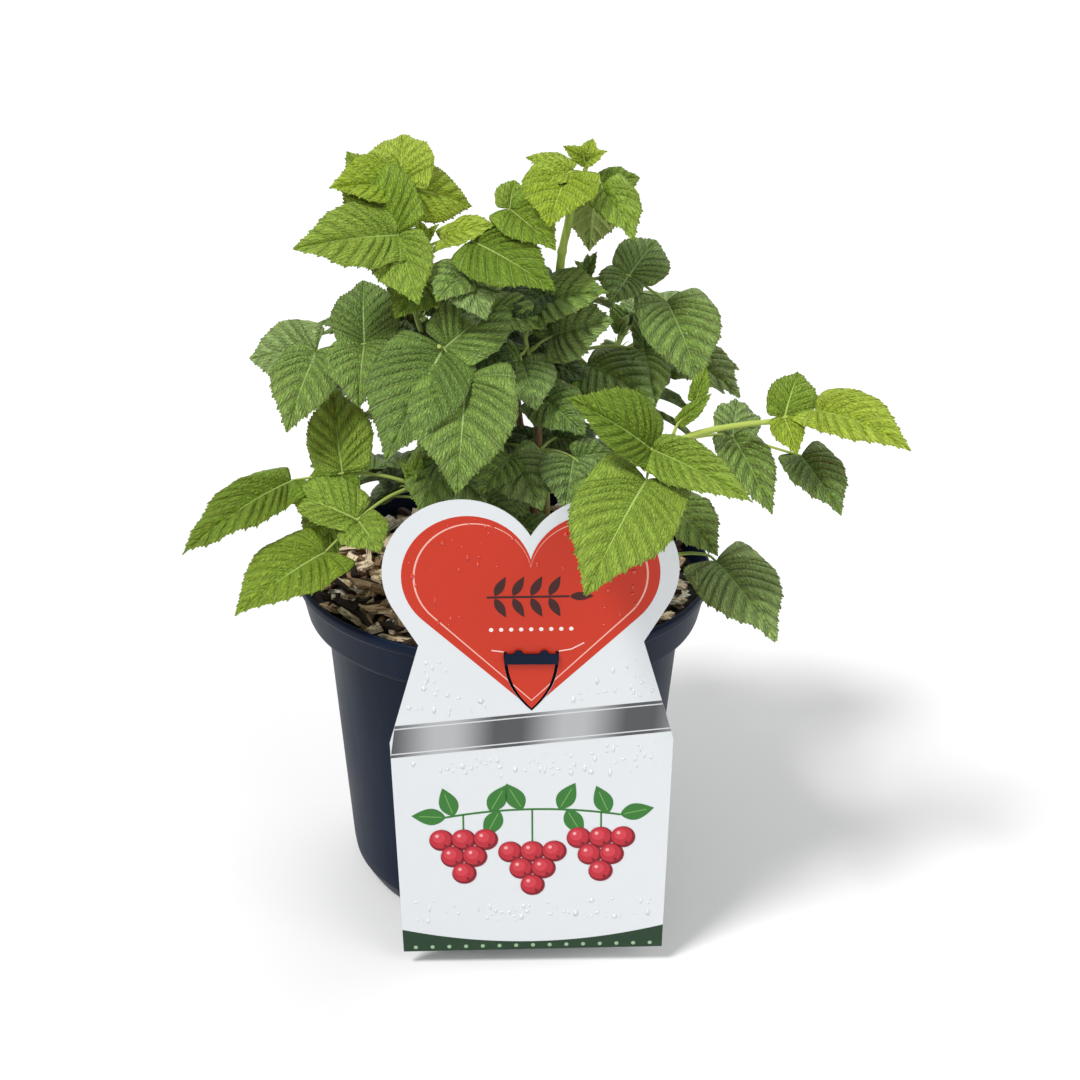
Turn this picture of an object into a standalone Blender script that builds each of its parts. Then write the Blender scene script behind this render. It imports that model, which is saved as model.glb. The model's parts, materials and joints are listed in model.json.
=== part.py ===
"""A young raspberry plant in a five litre nursery pot, with its picture card.

Frame: metres, +Z up, the origin at the middle of the pot's flat underside.
-Y is the front, where the card hangs. Sizes below are in millimetres and degrees.
A heading is an angle seen from above: 0 is +X, 90 is +Y, 270 is the front.
"""

import math
import random
from collections import namedtuple

import bmesh
import bpy
from mathutils import Vector

MM = 0.001
CLEAR = 0.3                      # gap between two pieces that touch

# Pot
ROUND_STEPS = 48                 # faces round the pot
POT_HEIGHT = 187.0
RIM_RADIUS = 115.0
WALL = 1.6
FLOOR = 2.0
BAND_FOOT = 161.0                # underside of the rim band
BAND_RADIUS = 109.0              # rim band at its foot
NECK_RADIUS = 98.7               # wall just under the band
FOOT_RADIUS = 79.0
HEEL = ((80.5, 2.5), (82.5, 5.5), (86.0, 11.5), (87.0, 18.0))     # rounded foot of the wall
INNER_HEEL = ((84.4, 12.5), (85.4, 18.0))
LIP_FOOT = 180.4                 # where the rim band turns out into the lip
LIP_OUTER, LIP_INNER, MOUTH_RADIUS = 112.9, 111.0, 112.6
DRAIN_COUNT = 8
DRAIN_RADIUS = 4.5
DRAIN_CIRCLE = 60.0

# Compost and mulch
FILL_TOP = 177.0

# Picture card, hung from a bar on the rim
CARD_TURN = 0.5                  # degrees that the card faces right of the front
CARD_ROLL = 0.9                  # degrees that its right side is raised
CARD_X = 12.0                    # card's middle line, from the rim's nearest point
CARD_THICK = 0.8
CARD_FOOT = 10.0
CARD_FOOT_HALF = 69.5
SHOULDER = (72.7, 139.0)         # half width and height
WAIST = (56.5, 195.0)
LOBE_CENTRE = (34.2, 234.5)
LOBE_RADIUS = 39.2
BAR_HEIGHT = 5.5
BAR_FOOT = 184.0
BAR_HALF = 13.6
BAR_THICK = 1.7
POST_WIDTH = 1.6
LUG_RADIUS = 2.4
LUG_APART = 13.0
POST_TOP = 186.6
POST_BACK = -6.0                 # how far the posts run back into the rim
TONGUE_HALF = 11.3               # inner edge of the slit round the tongue
SLIT = 2.9
TONGUE_TOP = 190.6
TONGUE_SIDE = 171.0              # where the tongue's sides turn in to its point
TONGUE_POINT = 158.5

# Leaves
BLADE_THICK = 1.1                # at the midrib, running out to a sharp edge
BLADE_STATIONS = (0.13, 0.42, 0.76)
BLADE_FOLD = 0.16                # rise of the outline over the midrib, by half width
STALK_FOOT, STALK_TIP = 1.2, 0.9
STALK_SIDES = 3
CANE_SIDES = 6
RING_TURN = 0.35                 # radians, so that no edge of a limb lies in a leaflet's middle plane
ROOT_DEPTH = 1.6                 # how far a leaflet's root is sunk in its stalk
LAST_NODE = 0.94                 # furthest place along a stem for a stalk to start

POT_NAVY = ((0.025, 0.035, 0.045), 0.42)
COMPOST_BROWN = ((0.16, 0.105, 0.06), 0.95)
CARD_WHITE = ((0.78, 0.80, 0.83), 0.35)
BARK_GREEN = ((0.20, 0.23, 0.06), 0.6)
BARK_RED = ((0.13, 0.075, 0.04), 0.65)
LEAF_YOUNG = ((0.26, 0.42, 0.045), 0.55)
LEAF_FRESH = ((0.15, 0.30, 0.04), 0.55)
LEAF_GROWN = ((0.07, 0.17, 0.035), 0.6)
LEAF_DARK = ((0.035, 0.095, 0.03), 0.6)

# Every cane: the points that it passes from the soil up, its radius at foot and tip.
Cane = namedtuple("Cane", "points foot tip finish")
CANES = {
    "cane_left": Cane(((8, 2), (-6, -4, 255), (-19, -9, 303), (-28, -10, 328)), 2.9, 2.0, BARK_RED),
    "cane_left_second": Cane(((-4, 8), (-24, 2, 262), (-40, -8, 312)), 2.4, 1.7, BARK_GREEN),
    "cane_right": Cane(((24, 6), (22, 9, 250), (27, 9, 318), (29, 7, 357), (34, 4, 386)),
                       3.1, 2.1, BARK_GREEN),
    "cane_middle": Cane(((13, -8), (18, -6, 255), (15, -5, 296)), 2.6, 1.9, BARK_RED),
    "cane_low_left": Cane(((-4, -10), (-14, -20, 214)), 2.4, 1.9, BARK_RED),
    "cane_low_right": Cane(((30, -6), (50, -32, 236), (68, -68, 276)), 2.8, 2.0, BARK_GREEN),
    "cane_skirt_right": Cane(((42, -10), (58, -24, 198)), 1.9, 1.6, BARK_GREEN),
    "cane_back": Cane(((12, 20), (10, 32, 236), (7, 38, 272)), 2.7, 1.9, BARK_RED),
    "cane_back_left": Cane(((-10, 18), (-20, 30, 222), (-28, 36, 250)), 2.4, 1.8, BARK_GREEN),
    "cane_back_right": Cane(((32, 18), (42, 30, 226), (50, 36, 254)), 2.5, 1.8, BARK_GREEN),
}

# Every mass of foliage: the cane that carries it and how far along (1 is the tip),
# the points that its own stem passes, and its radius at each end.
Mass = namedtuple("Mass", "cane along points base tip finish")
MASSES = {
    "foliage_left_tip": Mass("cane_left", 1, ((-38, -9, 342), (-42, -4, 369)), 2.0, 1.2, LEAF_YOUNG),
    "foliage_left_arm": Mass("cane_left_second", 1, ((-46, -6, 328), (-49, -1, 340)), 1.7, 1.1, LEAF_GROWN),
    "foliage_front": Mass("cane_left", 0.82, ((-30, -28, 318), (-34, -42, 326)), 1.4, 1.1, LEAF_GROWN),
    "foliage_right_tip": Mass("cane_right", 1, ((38, 2, 398), (41, 0, 409)), 2.1, 1.1, LEAF_YOUNG),
    "foliage_right_upper": Mass("cane_right", 0.78, ((38, 12, 342), (44, 14, 344)), 1.4, 1.1, LEAF_DARK),
    "foliage_right_middle": Mass("cane_right", 0.60, ((34, 14, 303), (40, 16, 305)), 1.4, 1.1, LEAF_DARK),
    "foliage_middle": Mass("cane_middle", 1, ((12, -5, 310), (10, -6, 321)), 1.9, 1.1, LEAF_GROWN),
    "foliage_centre_low": Mass("cane_middle", 0.66, ((16, -20, 260), (14, -30, 266)), 1.4, 1.1, LEAF_DARK),
    "foliage_low_left": Mass("cane_low_left", 1, ((-32, -36, 244), (-50, -50, 253)), 1.9, 1.3, LEAF_FRESH),
    "foliage_low_right": Mass("cane_low_right", 1,
                              ((77, -88, 290), (97, -86, 297), (118, -83, 300), (138, -80, 301)),
                              2.0, 1.2, LEAF_YOUNG),
    "foliage_skirt_right": Mass("cane_skirt_right", 1, ((74, -38, 208), (92, -50, 213)), 1.6, 1.1, LEAF_DARK),
    "foliage_back": Mass("cane_back", 1, ((5, 42, 294), (4, 43, 318)), 1.9, 1.1, LEAF_GROWN),
    "foliage_back_left": Mass("cane_back_left", 1, ((-36, 42, 272), (-42, 44, 302)), 1.8, 1.1, LEAF_GROWN),
    "foliage_back_right": Mass("cane_back_right", 1, ((58, 41, 278), (64, 43, 306)), 1.8, 1.1, LEAF_GROWN),
    "foliage_low_back": Mass("cane_back", 0.40, ((22, 48, 206), (30, 64, 212)), 1.3, 1.1, LEAF_DARK),
    "foliage_low_back_left": Mass("cane_back_left", 0.45, ((-38, 32, 206), (-52, 38, 212)), 1.3, 1.1,
                                  LEAF_DARK),
}

# Every leaf that shows from the front: the mass it belongs to, how far along that
# mass's stem it grows, its stalk from there to the joint of its side leaflets, the
# bare stretch on to its end, the heading and rise that its upper face looks to, how
# far the leaflets bend down, and the leaflets at its end and at its joint, each with
# a heading, a rise, a length and a width.
Leaf = namedtuple("Leaf", "name mass at stalk reach face bend ends sides")
LEAVES = (
    Leaf("a_back", "foliage_left_tip", 0.9, (-13, 14, 31), (0, 0, 0), (270, 40), 25,
         ((90, 30, 38, 34),), ((210, 5, 41, 28), (20, -20, 42, 32))),
    Leaf("a_front", "foliage_left_tip", 0.62, (-15, -8, 24), (0, 0, 0), (262, 38), 25,
         ((208, 0, 58, 36),), ((130, 40, 55, 36), (290, -40, 43, 32))),
    Leaf("a_young", "foliage_left_tip", 0.92, (8, -4, 6), (0, 0, 0), (265, 60), 20,
         ((340, 20, 34, 20),), ()),
    Leaf("a_low", "foliage_left_tip", 0.36, (-3, 4, 8), (0, 0, 0), (262, 45), 20,
         ((240, -20, 34, 30),), ()),
    Leaf("b_high", "foliage_left_tip", 0.30, (19, -10, 36), (19, 6, 15), (262, 50), 25,
         ((315, -25, 36, 28), (80, 40, 18, 16)), ((320, -16, 57, 36),)),
    Leaf("b_low", "foliage_left_tip", 0.15, (12, -14, 26), (0, 0, 0), (265, 45), 25,
         ((290, -30, 34, 28),), ((235, -20, 28, 26),)),
    Leaf("i_arm", "foliage_left_arm", 0.12, (-32, -9, 3), (-24, -4, -2), (262, 42), 32,
         ((250, -38, 51, 34), (168, -12, 38, 34)), ((93, 35, 42, 36), (268, -32, 42, 34))),
    Leaf("k_front", "foliage_front", 0.6, (-2, -10, 6), (12, -12, -11), (266, 42), 25,
         ((265, -40, 68, 54),), ((242, -35, 73, 50), (40, 22, 50, 38))),
    Leaf("c_left", "foliage_right_tip", 0.8, (-7, -8, 3), (-2, -2, -1), (262, 50), 30,
         ((252, -30, 38, 38),), ((140, 5, 30, 12), (205, -10, 24, 18))),
    Leaf("c_right", "foliage_right_tip", 0.76, (9, -4, -3), (0, 0, -1), (285, 45), 25,
         ((300, -35, 38, 26),), ((30, 0, 24, 16), (280, -40, 26, 18))),
    Leaf("c_back", "foliage_right_tip", 0.5, (8, 7, -2), (0, 0, 0), (85, 30), 15,
         ((95, -70, 41, 30),), ()),
    Leaf("c_bud", "foliage_right_tip", 0.94, (0, 1, 3), (0, 0, 0), (250, 30), 20,
         ((70, 40, 15, 9),), ((190, 35, 15, 8), (330, 30, 14, 8))),
    Leaf("d_arm", "foliage_right_upper", 0.9, (23, 4, 2), (20, -6, -12), (275, 45), 35,
         ((288, -33, 58, 42),), ((55, 25, 31, 30), (240, -25, 24, 24))),
    Leaf("d_big", "foliage_middle", 0.9, (6, -1, 17), (0, 0, 0), (268, 55), 25,
         ((326, 20, 46, 36),), ()),
    Leaf("e_arm", "foliage_right_middle", 0.9, (36, 4, -1), (21, 4, -4), (280, 45), 30,
         ((310, -15, 47, 28),), ((90, 35, 31, 14), (280, -35, 37, 26))),
    Leaf("e_low", "foliage_right_middle", 0.6, (9, 0, -6), (0, 0, 0), (275, 55), 25,
         ((318, -15, 50, 36),), ((270, -35, 30, 24),)),
    Leaf("f_high", "foliage_middle", 0.55, (13, -3, 11), (0, 0, 0), (268, 40), 20,
         ((325, 22, 40, 38),), ((110, 30, 21, 22),)),
    Leaf("f_low", "foliage_middle", 0.7, (-3, -10, -4), (10, -3, -19), (268, 45), 25,
         ((310, -18, 38, 30),), ((285, -30, 35, 34), (200, 0, 28, 24))),
    Leaf("k_low", "foliage_low_left", 0.42, (-8, -6, 30), (0, 0, 0), (262, 45), 25,
         ((255, -35, 40, 30),), ((310, -25, 42, 34),)),
    Leaf("k_middle", "foliage_centre_low", 0.9, (-12, -20, 4), (0, 0, 0), (268, 50), 25,
         ((300, -30, 38, 32),), ((235, -25, 30, 26),)),
    Leaf("k_right", "foliage_centre_low", 0.7, (20, -26, 6), (8, -14, -4), (275, 55), 25,
         ((305, -32, 30, 26),), ((22, 0, 22, 20), (258, -35, 32, 30))),
    Leaf("g_front", "foliage_low_right", 0.24, (-3, -8, 3), (-3, -12, -11), (262, 48), 25,
         ((240, -30, 74, 52),), ((195, 35, 54, 34), (318, -10, 63, 26))),
    Leaf("g_middle", "foliage_low_right", 0.28, (38, 20, -2), (36, 4, -12), (275, 50), 25,
         ((295, -25, 43, 28),), ((80, 20, 29, 24), (292, -30, 51, 26))),
    Leaf("g_tip", "foliage_low_right", 0.93, (6, 0, 2), (15, 0, 4), (262, 55), 42,
         ((312, -4, 60, 30),), ((70, 25, 33, 24), (280, -25, 26, 16))),
    Leaf("g_young", "foliage_low_right", 0.34, (4, 2, 10), (8, 3, 10), (265, 40), 12,
         ((50, 60, 18, 9),), ((10, 42, 22, 8),)),
    Leaf("h_skirt", "foliage_skirt_right", 0.9, (18, -8, 4), (4, -5, -1), (272, 55), 30,
         ((297, -20, 62, 42),), ()),
    Leaf("h_high", "foliage_skirt_right", 0.5, (12, -4, 32), (0, 0, 0), (280, 55), 30,
         ((310, -25, 42, 30),), ()),
    Leaf("j_high", "foliage_low_left", 0.88, (-40, -3, 8), (-26, -2, -3), (255, 50), 30,
         ((228, -13, 77, 30),), ((100, 45, 50, 34), (240, -70, 50, 30))),
    Leaf("j_low", "foliage_low_left", 0.94, (-28, -26, -8), (-16, -8, -14), (255, 62), 22,
         ((225, -15, 62, 42),), ((155, 10, 43, 30), (300, -20, 26, 26))),
)

# The masses at the back are dealt out by rule. Each keeps to its own space: the
# heading it looks to, how far its space opens to either side of that, its lowest
# and highest point, and how many leaves its stem has.
Space = namedtuple("Space", "look half low high count")
SPACES = {
    "foliage_back": Space(95, 27, 232, 344, 8),
    "foliage_back_left": Space(150, 27, 232, 332, 8),
    "foliage_back_right": Space(40, 27, 232, 338, 8),
    "foliage_low_back": Space(60, 34, 190, 232, 4),
    "foliage_low_back_left": Space(140, 42, 190, 232, 4),
}
SPACE_CENTRE = (10, 12)          # where the spaces' wedges meet
TURN_SHARE = 0.4                 # two fifths of a turn from each leaf to the next
FAN = 0.8                        # share of its space that a mass's leaves are dealt over
LOW_STALK, HIGH_STALK = 38, 14   # a leaf's stalk at the foot and the tip of its mass's stem
LOW_BLADE, HIGH_BLADE = 56, 40   # and the length of its end leaflet
LOW_RISE, HIGH_RISE = -8, 34     # and the rise of its stalk, in degrees
BARE_STRETCH = 12                # from the side leaflets to the end one
SIDE_SHARE = 0.76                # a side leaflet's length, and any leaflet's width by its length
SIDE_TURN = 72
END_DROOP, SIDE_DROOP = 32, 16   # how far the leaflets hang below their stalk's rise
SEED = 7


def heading_vector(heading, rise):
    """Unit vector for a heading and a rise above the level, both in degrees."""
    turn, lift = math.radians(heading), math.radians(rise)
    return Vector((math.cos(turn) * math.cos(lift), math.sin(turn) * math.cos(lift), math.sin(lift)))


def smooth_path(points, steps):
    """A smooth curve through the points, with that many steps between two of them."""
    points = [Vector(point) for point in points]
    before = points[0] * 2 - points[1]
    after = points[-1] * 2 - points[-2]
    knots = [before] + points + [after]
    path = [points[0].copy()]
    for first, second, third, fourth in zip(knots, knots[1:], knots[2:], knots[3:]):
        for step in range(1, steps + 1):
            t = step / steps
            path.append(0.5 * (2 * second + (third - first) * t
                               + (2 * first - 5 * second + 4 * third - fourth) * t ** 2
                               + (3 * second - 3 * third + fourth - first) * t ** 3))
    return path


def point_along(path, share):
    """The point of a path that lies at a share of its length."""
    lengths = [(b - a).length for a, b in zip(path, path[1:])]
    left = max(0.0, min(1.0, share)) * sum(lengths)
    for start, end, length in zip(path, path[1:], lengths):
        if left <= length:
            return start.lerp(end, left / length)
        left -= length
    return path[-1].copy()


def cane_path(name):
    """The middle line of a cane, from its flat cut on the soil to its tip."""
    foot, *rest = CANES[name].points
    start = Vector((foot[0], foot[1], FILL_TOP + CLEAR))
    return smooth_path([start, *rest], 4)


def mass_path(name):
    """The middle line of a mass's stem, starting clear of the cane that carries it."""
    mass = MASSES[name]
    cane = CANES[mass.cane]
    line = cane_path(mass.cane)
    root = point_along(line, mass.along)
    way = line[-1] - line[-2]
    gap = CLEAR
    if mass.along < 1:
        grain = (point_along(line, mass.along + 0.02) - root).normalized()
        way = Vector(mass.points[0]) - root
        way -= grain * way.dot(grain)
        gap += cane.foot + (cane.tip - cane.foot) * mass.along
    way.normalize()
    start = root + way * gap
    return [start] + smooth_path([start + way * 3, *mass.points], 3)


def new_object(name, mesh_builder, finish):
    """An object whose mesh the builder fills, given in mm, with its own material."""
    mesh = bpy.data.meshes.new(name)
    shape = bmesh.new()
    mesh_builder(shape)
    bmesh.ops.scale(shape, vec=(MM, MM, MM), verts=shape.verts)
    bmesh.ops.recalc_face_normals(shape, faces=shape.faces)
    shape.to_mesh(mesh)
    shape.free()
    thing = bpy.data.objects.new(name, mesh)
    bpy.context.scene.collection.objects.link(thing)
    colour, roughness = finish
    material = bpy.data.materials.new(name + "_finish")
    material.use_nodes = True
    shader = material.node_tree.nodes["Principled BSDF"]
    shader.inputs["Base Color"].default_value = (*colour, 1)
    shader.inputs["Roughness"].default_value = roughness
    shader.inputs["Metallic"].default_value = 0
    mesh.materials.append(material)
    return thing


def add_turned(shape, profile):
    """A closed turned body: the profile runs from the axis back to the axis."""
    rings = []
    for radius, height in profile:
        if radius == 0:
            rings.append([shape.verts.new((0, 0, height))])
            continue
        rings.append([shape.verts.new((radius * math.cos(2 * math.pi * step / ROUND_STEPS),
                                       radius * math.sin(2 * math.pi * step / ROUND_STEPS), height))
                      for step in range(ROUND_STEPS)])
    for lower, upper in zip(rings, rings[1:]):
        for step in range(ROUND_STEPS):
            following = (step + 1) % ROUND_STEPS
            if len(lower) == 1:
                shape.faces.new((lower[0], upper[step], upper[following]))
            elif len(upper) == 1:
                shape.faces.new((lower[step], upper[0], lower[following]))
            else:
                shape.faces.new((lower[step], upper[step], upper[following], lower[following]))


def add_tube(shape, path, start_radius, end_radius, sides, level_foot=False):
    """A tapering round limb along a path, cut flat at both ends."""
    rings = []
    side = None
    for index, point in enumerate(path):
        way = (path[min(index + 1, len(path) - 1)] - path[max(index - 1, 0)]).normalized()
        if index == 0 and level_foot:
            way = Vector((0, 0, 1))
        if side is None:
            side = way.orthogonal().normalized()
        side = (side - way * side.dot(way)).normalized()
        other = way.cross(side)
        radius = start_radius + (end_radius - start_radius) * index / (len(path) - 1)
        turns = [RING_TURN + 2 * math.pi * step / sides for step in range(sides)]
        rings.append([shape.verts.new(point + (side * math.cos(turn) + other * math.sin(turn)) * radius)
                      for turn in turns])
    for lower, upper in zip(rings, rings[1:]):
        for step in range(sides):
            following = (step + 1) % sides
            shape.faces.new((lower[step], lower[following], upper[following], upper[step]))
    shape.faces.new(reversed(rings[0]))
    shape.faces.new(rings[-1])


def blade_width(share):
    """Half width of a leaflet at a share of its length: round below, drawn out to its tip."""
    swell = math.sin(math.pi * share ** 0.68) ** 0.72
    return swell * (1 - 0.30 * share ** 3)


def blade_lines(base, blade, face, bend):
    """The leaflet's middle line, the way across it and its upper side, at any share."""
    heading, rise, length, width = blade
    chord = heading_vector(heading, rise)
    above = heading_vector(*face)
    above = (above - chord * above.dot(chord)).normalized()
    across = chord.cross(above)
    turn = math.radians(bend)
    start = chord * math.cos(turn / 2) + above * math.sin(turn / 2)
    lift = above * math.cos(turn / 2) - chord * math.sin(turn / 2)
    radius = length / (2 * math.sin(turn / 2))

    def at(share):
        angle = turn * share
        middle = base + start * radius * math.sin(angle) - lift * radius * (1 - math.cos(angle))
        upper = lift * math.cos(angle) + start * math.sin(angle)
        return middle, across, upper, blade_width(share) * width / 2

    return at


def add_blade(shape, base, blade, leaf):
    """A leaflet as a closed blade: thick at its midrib, sharp all round its outline."""
    at = blade_lines(base, blade, leaf.face, leaf.bend)
    outline_left, outline_right, ridge, keel = [], [], [], []
    for share in BLADE_STATIONS:
        middle, across, upper, half = at(share)
        outline_left.append(shape.verts.new(middle - across * half + upper * half * BLADE_FOLD))
        outline_right.append(shape.verts.new(middle + across * half + upper * half * BLADE_FOLD))
        ridge.append(shape.verts.new(middle + upper * BLADE_THICK / 2))
        keel.append(shape.verts.new(middle - upper * BLADE_THICK / 2))
    root = shape.verts.new(at(0)[0])
    tip = shape.verts.new(at(1)[0])
    for middle_line, flip in ((ridge, False), (keel, True)):
        for outline, mirrored in ((outline_left, False), (outline_right, True)):
            faces = [(root, middle_line[0], outline[0]), (tip, outline[-1], middle_line[-1])]
            for step in range(len(outline) - 1):
                faces.append((middle_line[step], middle_line[step + 1], outline[step + 1]))
                faces.append((middle_line[step], outline[step + 1], outline[step]))
            for corners in faces:
                shape.faces.new(corners if flip != mirrored else tuple(reversed(corners)))


def leaf_places(leaf, stem):
    """Where a leaf starts on its stem, where its side leaflets sit, and its end leaflet."""
    start = point_along(stem, min(leaf.at, LAST_NODE))
    joint = start + Vector(leaf.stalk)
    return start, joint, joint + Vector(leaf.reach)


def stalk_line(start, joint, end):
    """A stalk's middle line, a little arched, ending just past the end leaflet's root."""
    line = [start, (start + joint) / 2 + Vector((0, 0, 0.06 * (joint - start).length)), joint]
    if (end - joint).length > 1:
        line.append(end)
    way = (line[-1] - line[-2]).normalized()
    line[-1] = line[-1] + way * ROOT_DEPTH
    return line


def make_mass(name, leaves):
    """One mass of foliage: its stem, with the stalks and leaflets fused on."""
    mass = MASSES[name]
    stem = mass_path(name)
    body = new_object(name, lambda shape: add_tube(shape, stem, mass.base, mass.tip, CANE_SIDES),
                      mass.finish)
    pieces = bpy.data.collections.new(name + "_pieces")
    bpy.context.scene.collection.children.link(pieces)
    for leaf in leaves:
        start, joint, end = leaf_places(leaf, stem)
        line = stalk_line(start, joint, end)
        stalk = new_object(leaf.name, lambda shape: add_tube(shape, line, STALK_FOOT, STALK_TIP, STALK_SIDES),
                           mass.finish)
        parts = [stalk]
        for root, blades in ((end, leaf.ends), (joint, leaf.sides)):
            for blade in blades:
                parts.append(new_object(leaf.name, lambda shape: add_blade(shape, root, blade, leaf),
                                        mass.finish))
        for part in parts:
            bpy.context.scene.collection.objects.unlink(part)
            pieces.objects.link(part)
    fuse(body, pieces)
    return body


def fuse(body, pieces):
    """Joins the pieces of a collection to the body and removes them."""
    union = body.modifiers.new("fuse", "BOOLEAN")
    union.operation = "UNION"
    union.operand_type = "COLLECTION"
    union.collection = pieces
    union.solver = "EXACT"
    joined = bpy.data.meshes.new_from_object(body.evaluated_get(bpy.context.evaluated_depsgraph_get()))
    body.modifiers.remove(union)
    body.data = joined
    keep_largest(joined)
    for piece in list(pieces.objects):
        bpy.data.objects.remove(piece)
    bpy.data.collections.remove(pieces)


def keep_largest(mesh):
    """Fills hollows that the joining sealed: only the largest shell of the mesh stays."""
    shape = bmesh.new()
    shape.from_mesh(mesh)
    waiting = set(shape.verts)
    shells = []
    while waiting:
        shell, front = set(), [waiting.pop()]
        while front:
            corner = front.pop()
            shell.add(corner)
            for edge in corner.link_edges:
                other = edge.other_vert(corner)
                if other in waiting:
                    waiting.remove(other)
                    front.append(other)
        shells.append(shell)
    shells.sort(key=len)
    for shell in shells[:-1]:
        bmesh.ops.delete(shape, geom=list(shell), context="VERTS")
    shape.to_mesh(mesh)
    shape.free()


def rear_leaves(name):
    """The leaves of a mass at the back, two fifths of a turn apart along its stem."""
    space = SPACES[name]
    stem = mass_path(name)
    chance = random.Random(f"{SEED} {name}")
    leaves = []
    for number in range(space.count):
        share = (number + 0.6) / space.count
        place = (0.5 + number * TURN_SHARE) % 1.0 * 2 - 1
        heading = space.look + place * space.half * FAN
        rise = LOW_RISE + (HIGH_RISE - LOW_RISE) * share + chance.uniform(-5, 5)
        stalk = heading_vector(heading, rise) * (LOW_STALK + (HIGH_STALK - LOW_STALK) * share)
        reach = heading_vector(heading, rise - SIDE_DROOP) * BARE_STRETCH
        length = (LOW_BLADE + (HIGH_BLADE - LOW_BLADE) * share) * chance.uniform(0.92, 1.08)
        side = length * SIDE_SHARE
        leaf = Leaf(f"{name}_{number}", name, share, tuple(stalk), tuple(reach), (heading, 60), 35,
                    ((heading, rise - END_DROOP, length, length * SIDE_SHARE),),
                    tuple((heading + turn + chance.uniform(-7, 7), rise - SIDE_DROOP + chance.uniform(-4, 4),
                           side, side * SIDE_SHARE) for turn in (-SIDE_TURN, SIDE_TURN)))
        joint, end = leaf_places(leaf, stem)[1:]
        ends = tuple(blade for blade in leaf.ends if keeps_to(space, end, blade, leaf))
        sides = tuple(blade for blade in leaf.sides if keeps_to(space, joint, blade, leaf))
        if ends or sides:
            leaves.append(leaf._replace(ends=ends, sides=sides))
    return leaves


def keeps_to(space, root, blade, leaf):
    """Whether a leaflet stays inside its mass's own space."""
    at = blade_lines(root, blade, leaf.face, leaf.bend)
    middle, across, upper, half = at(BLADE_STATIONS[1])
    for corner in (at(1)[0], middle + across * half, middle - across * half):
        heading = math.degrees(math.atan2(corner.y - SPACE_CENTRE[1], corner.x - SPACE_CENTRE[0]))
        if abs(heading - space.look) > space.half or not space.low < corner.z < space.high:
            return False
    return True


def pot_wall(clear):
    """The pot's inner profile from the floor up, drawn in by a clearance."""
    heel = [(radius - clear, height) for radius, height in INNER_HEEL]
    return [(FOOT_RADIUS - 1 - clear, FLOOR + clear), *heel,
            (NECK_RADIUS - WALL - clear, BAND_FOOT + 1 + clear),
            (BAND_RADIUS - WALL - clear, BAND_FOOT + 3.5 + clear)]


def build_pot(shape):
    outer = [(0, 0), (FOOT_RADIUS, 0), *HEEL, (NECK_RADIUS, BAND_FOOT - 3),
             (BAND_RADIUS - 1, BAND_FOOT), (BAND_RADIUS, BAND_FOOT + 2), (LIP_OUTER, LIP_FOOT),
             (RIM_RADIUS - 0.2, LIP_FOOT + 1.2), (RIM_RADIUS, POT_HEIGHT - 1.4), (RIM_RADIUS - 1, POT_HEIGHT)]
    inner = [(0, FLOOR), *pot_wall(0), (LIP_INNER, LIP_FOOT), (MOUTH_RADIUS, POT_HEIGHT)]
    add_turned(shape, outer + inner[::-1])


def build_fill(shape):
    clear = CLEAR + 0.1
    wall = pot_wall(clear)
    radius, height = wall[-1]
    share = (FILL_TOP - height) / (LIP_FOOT - height)
    top_radius = radius + (LIP_INNER - clear - radius) * share
    add_turned(shape, [(0, FLOOR + CLEAR), *wall, (top_radius, FILL_TOP), (0, FILL_TOP)])


def card_point(across, height, out):
    """A point of the card's own frame: along its width, up, and out from its back face."""
    turn = math.radians(CARD_TURN)
    away = RIM_RADIUS + CLEAR + 0.1 + out
    return Vector((math.cos(turn) * across + math.sin(turn) * away,
                   math.sin(turn) * across - math.cos(turn) * away, height))


def rolled(across, height):
    """Turns a point of the card about the middle of its bar by the card's roll."""
    turn = math.radians(CARD_ROLL)
    middle = BAR_FOOT + BAR_HEIGHT / 2
    side, up = across, height - middle
    return (CARD_X + side * math.cos(turn) - up * math.sin(turn),
            middle + side * math.sin(turn) + up * math.cos(turn))


def card_outline():
    """Half of the card's outline from the cleft to its foot, then the other half."""
    cx, cz = LOBE_CENTRE
    reach = math.hypot(WAIST[0] - cx, WAIST[1] - cz)
    cleft = math.acos(-cx / LOBE_RADIUS)
    last = math.atan2(WAIST[1] - cz, WAIST[0] - cx) + math.acos(LOBE_RADIUS / reach)
    steps = 14
    half = [(cx + LOBE_RADIUS * math.cos(cleft + (last - cleft) * step / steps),
             cz + LOBE_RADIUS * math.sin(cleft + (last - cleft) * step / steps)) for step in range(steps + 1)]
    half += [WAIST, SHOULDER, (CARD_FOOT_HALF, CARD_FOOT)]
    return half + [(-across, height) for across, height in half[:0:-1]]


def tongue_outline(grow):
    """The tongue's shield outline from its top left round its point, grown by a margin."""
    half = TONGUE_HALF + grow
    return [(-half, TONGUE_TOP), (-half, TONGUE_SIDE), (-half * 0.62, TONGUE_POINT + 6 - grow),
            (0, TONGUE_POINT - grow), (half * 0.62, TONGUE_POINT + 6 - grow), (half, TONGUE_SIDE),
            (half, TONGUE_TOP)]


def add_plate(shape, outline, low, high):
    """A flat plate of the card's frame between two distances from its back face."""
    back = [shape.verts.new(card_point(*rolled(*point), low)) for point in outline]
    front = [shape.verts.new(card_point(*rolled(*point), high)) for point in outline]
    shape.faces.new(back)
    shape.faces.new(front)
    for index, (near, far) in enumerate(zip(front, back)):
        shape.faces.new((near, front[index - 1], back[index - 1], far))


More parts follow.
